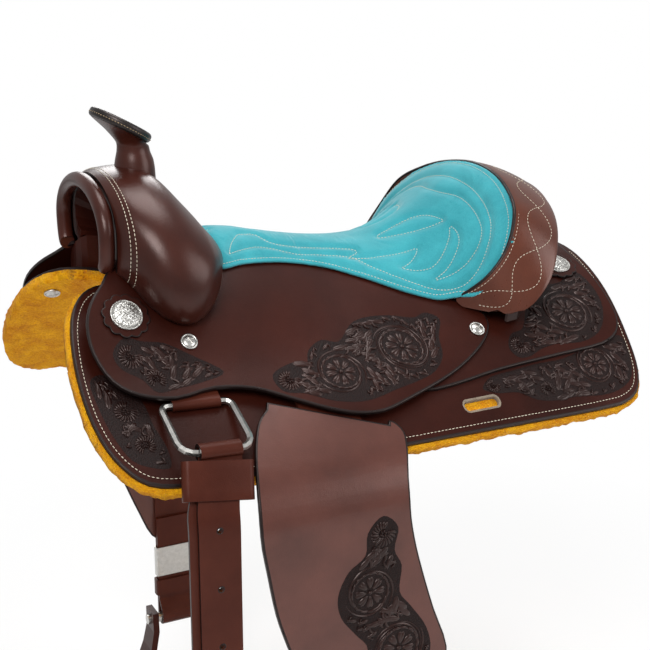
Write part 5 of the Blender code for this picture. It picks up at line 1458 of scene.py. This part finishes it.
# Carved fields, as (x, distance from the centre plane), with radii; on the fender the second
# number is the drop from its datum
carving = {
    "gap": 0.0118, "leaf": 0.0240, "width": 0.0100, "groundLift": 0.00015,
    "jockey": (
        {"edge": mm(
            (-128, 178), (-100, 168), (-85, 172), (-76, 158), (-56, 149), (-36, 153), (-12, 136),
            (8, 131), (40, 131), (70, 136), (88, 132), (102, 142), (90, 160), (82, 182),
            (62, 198), (35, 207), (5, 213), (-35, 219), (-70, 214), (-100, 202), (-124, 196)),
         "flowers": mm((-50, 185.5, 30), (36.5, 168, 34)),
         "shells": mm((-112, 186, 14.5))},
        {"edge": mm(
            (-292, 147), (-276, 135), (-258, 138), (-235, 140), (-210, 151), (-180, 169),
            (-205, 177), (-235, 181), (-258, 183), (-270, 170), (-288, 160)),
         "flowers": (), "shells": mm((-275, 150, 14.5), (-255, 170.5, 12))}),
    "rearJockey": (
        {"edge": mm(
            (174, 178), (186, 164), (205, 160), (222, 142), (238, 124), (265, 112), (298, 110),
            (316, 94), (332, 105), (334, 140), (322, 165), (302, 181), (272, 187), (240, 184),
            (215, 186), (196, 191), (180, 190)),
         "flowers": mm((277, 150, 34)), "shells": mm((190, 177, 14.5))},),
    "skirt": (
        {"edge": mm(
            (118, 212), (135, 202), (165, 200), (200, 198), (240, 198), (290, 190), (332, 186),
            (334, 203), (322, 226), (300, 236), (270, 239), (235, 236), (205, 236), (180, 232),
            (160, 222), (135, 219)),
         "flowers": mm((279, 209.5, 27)),
         "shells": mm((132, 211, 10.5), (200, 224, 11))},
        {"edge": mm(
            (-319, 152), (-303, 146), (-290, 160), (-272, 172), (-268, 195), (-262, 215),
            (-264, 232), (-280, 231), (-300, 222), (-312, 200), (-318, 175)),
         "flowers": (), "shells": mm((-292, 180, 14), (-283, 211, 12.5))}),
    "fender": (
        {"edge": mm(
            (-73, 150), (-55, 134), (-37, 150), (-41, 175), (-32, 195), (-34, 225), (-20, 245),
            (0, 275), (6, 305), (-10, 332), (-45, 346), (-85, 352), (-106, 338), (-90, 312),
            (-72, 285), (-88, 262), (-104, 240), (-108, 215), (-96, 190), (-76, 175)),
         "flowers": mm((-70, 218, 30), (-34, 292, 32.5)),
         "shells": mm((-55, 154, 16), (-88, 335, 12.5))},),
}
for label, side in sides.items():
    for panel, height, top, arcX in (("jockey", seatHeight, 0.0, -0.02),
                                     ("rearJockey", skirtHeight, rearJockey["top"], 0.25),
                                     ("skirt", skirtHeight, 0.0, 0.20)):
        table = arcTable(height, arcX)
        carvePanel(panel + "_tooling_" + label, carving[panel],
                   lambda x, y: Vector((x, lookUp(table, y, given=1))),
                   lambda x, s, z: onSurface(height, x, side * lookUp(table, s), top + z))
    carvePanel("fender_tooling_" + label, carving["fender"],
               lambda x, drop: Vector((x, fenderDatum + drop)),
               lambda x, s, z: fenderPlace(x, s, z, side), "fender_" + label)
print("stage: carving")

# Finishes of the solids that stay
# The cantle back gets the dark carved finish as painted shade, so that it reads as shadow under the
# roll
keptFinish = {
    "cantle_back": "carved", "horn_core": "black", "horn_cap": "black", "cantle_roll": "roll",
    "stirrup_leather": "strap", "hobble_strap": "strap", "rigging_strap": "strap",
    "latigo": "strap", "stirrup_buckle": "nickel", "stirrup_bolt": "nickel",
    "rigging_ring": "nickel", "front_concho": "nickel", "rear_concho": "nickel",
    "jockey_screw": "nickel", "lining_screw": "nickel", "fender": "fender",
    "fleece": "fleece", "seat_pad": "suede",
}
for nodeName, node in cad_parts.items():
    label = next((keptFinish[key] for key in keptFinish if nodeName.startswith(key)), "brown")
    if not node.data.materials:
        node.data.materials.append(finish[label])
    for place in node.material_slots:
        place.material = finish[label]

# Floor, lights and camera
studio = {
    "floor": (0.88, 0.88, 0.88, 1.0), "floorLight": (0.924, 0.924, 0.924, 1.0),
    "floorNear": 0.9, "floorFar": 1.5, "floorGlow": 0.55, "shade": 0.32, "gleam": 0.30,
    "camera": (-0.653, -1.331, 0.354), "target": (0.025, 0.0, -0.06), "lens": 69.3,
    "lamps": (
        ("key", (-1.30, -1.70, 1.60), 1.3, 46.0), ("fill", (1.70, -1.60, 0.70), 1.6, 20.0),
        ("top", (0.20, 0.20, 2.10), 1.4, 26.0), ("back", (0.60, 2.00, 1.10), 1.2, 18.0)),
}


def layFloor():
    bm = bmesh.new()
    bmesh.ops.create_grid(bm, x_segments=4, y_segments=4, size=6.0,
                          matrix=Matrix.Translation((0.0, 0.0, cadBox[0][2] - 0.0006)))
    floor = linked("floor", meshOf("floor", bm))
    material, tree, shader, spot = startMaterial("paleFloor", Roughness=0.9)
    mottle = addNode(tree, "ShaderNodeTexNoise", {"Vector": spot}, Scale=3.0)
    tree.links.new(mixColour(tree, mottle.outputs["Fac"], studio["floor"], studio["floorLight"]),
                   shader.inputs["Base Color"])
    # Further out the floor turns into the white background
    glow = addNode(tree, "ShaderNodeEmission", Color=(1.0, 1.0, 1.0, 1.0), Strength=1.0)
    reach = addNode(tree, "ShaderNodeVectorMath", {0: spot}, operation="LENGTH")
    far = addNode(tree, "ShaderNodeMapRange", {"Value": reach.outputs["Value"]},
                  From_Min=studio["floorNear"], From_Max=studio["floorFar"],
                  To_Min=studio["floorGlow"])
    light = addNode(tree, "ShaderNodeLightPath")
    share = addMath(tree, "MULTIPLY", far.outputs["Result"], light.outputs["Is Camera Ray"])
    join = addNode(tree, "ShaderNodeMixShader", {0: share, 1: shader.outputs[0],
                                                 2: glow.outputs[0]})
    tree.links.new(join.outputs[0], tree.nodes["Material Output"].inputs["Surface"])
    floor.data.materials.append(material)


def lightWorld():
    # Soft grey light on the object; white where the camera or a reflection sees past it
    world = bpy.data.worlds.new("studio")
    bpy.context.scene.world = world
    world.use_nodes = True
    tree = world.node_tree
    light = addNode(tree, "ShaderNodeLightPath")
    gleam = addMath(tree, "MULTIPLY", light.outputs["Is Glossy Ray"], studio["gleam"])
    seen = addMath(tree, "ADD", light.outputs["Is Camera Ray"], gleam)
    both = addMath(tree, "ADD", seen, light.outputs["Is Transmission Ray"], use_clamp=True)
    strength = addNode(tree, "ShaderNodeMapRange", {"Value": both}, To_Min=studio["shade"])
    background = tree.nodes["Background"]
    background.inputs["Color"].default_value = (1.0, 1.0, 1.0, 1.0)
    tree.links.new(strength.outputs["Result"], background.inputs["Strength"])


def aim(name, data, spot, target):
    item = linked(name, data)
    item.location = spot
    item.rotation_euler = (Vector(target) - Vector(spot)).to_track_quat("-Z", "Y").to_euler()
    return item


layFloor()
lightWorld()
for name, spot, size, power in studio["lamps"]:
    lamp = bpy.data.lights.new(name, "AREA")
    lamp.shape = "DISK"
    lamp.size = size
    lamp.energy = power
    aim(name, lamp, spot, (0.0, 0.0, -0.05))
camera = bpy.data.cameras.new("camera")
camera.lens = studio["lens"]
camera.sensor_width = 36.0
camera.clip_start = 0.01
bpy.context.scene.camera = aim("camera", camera, studio["camera"], studio["target"])
bpy.context.scene.view_settings.view_transform = "Standard"

print("stage: floor, lights and camera")
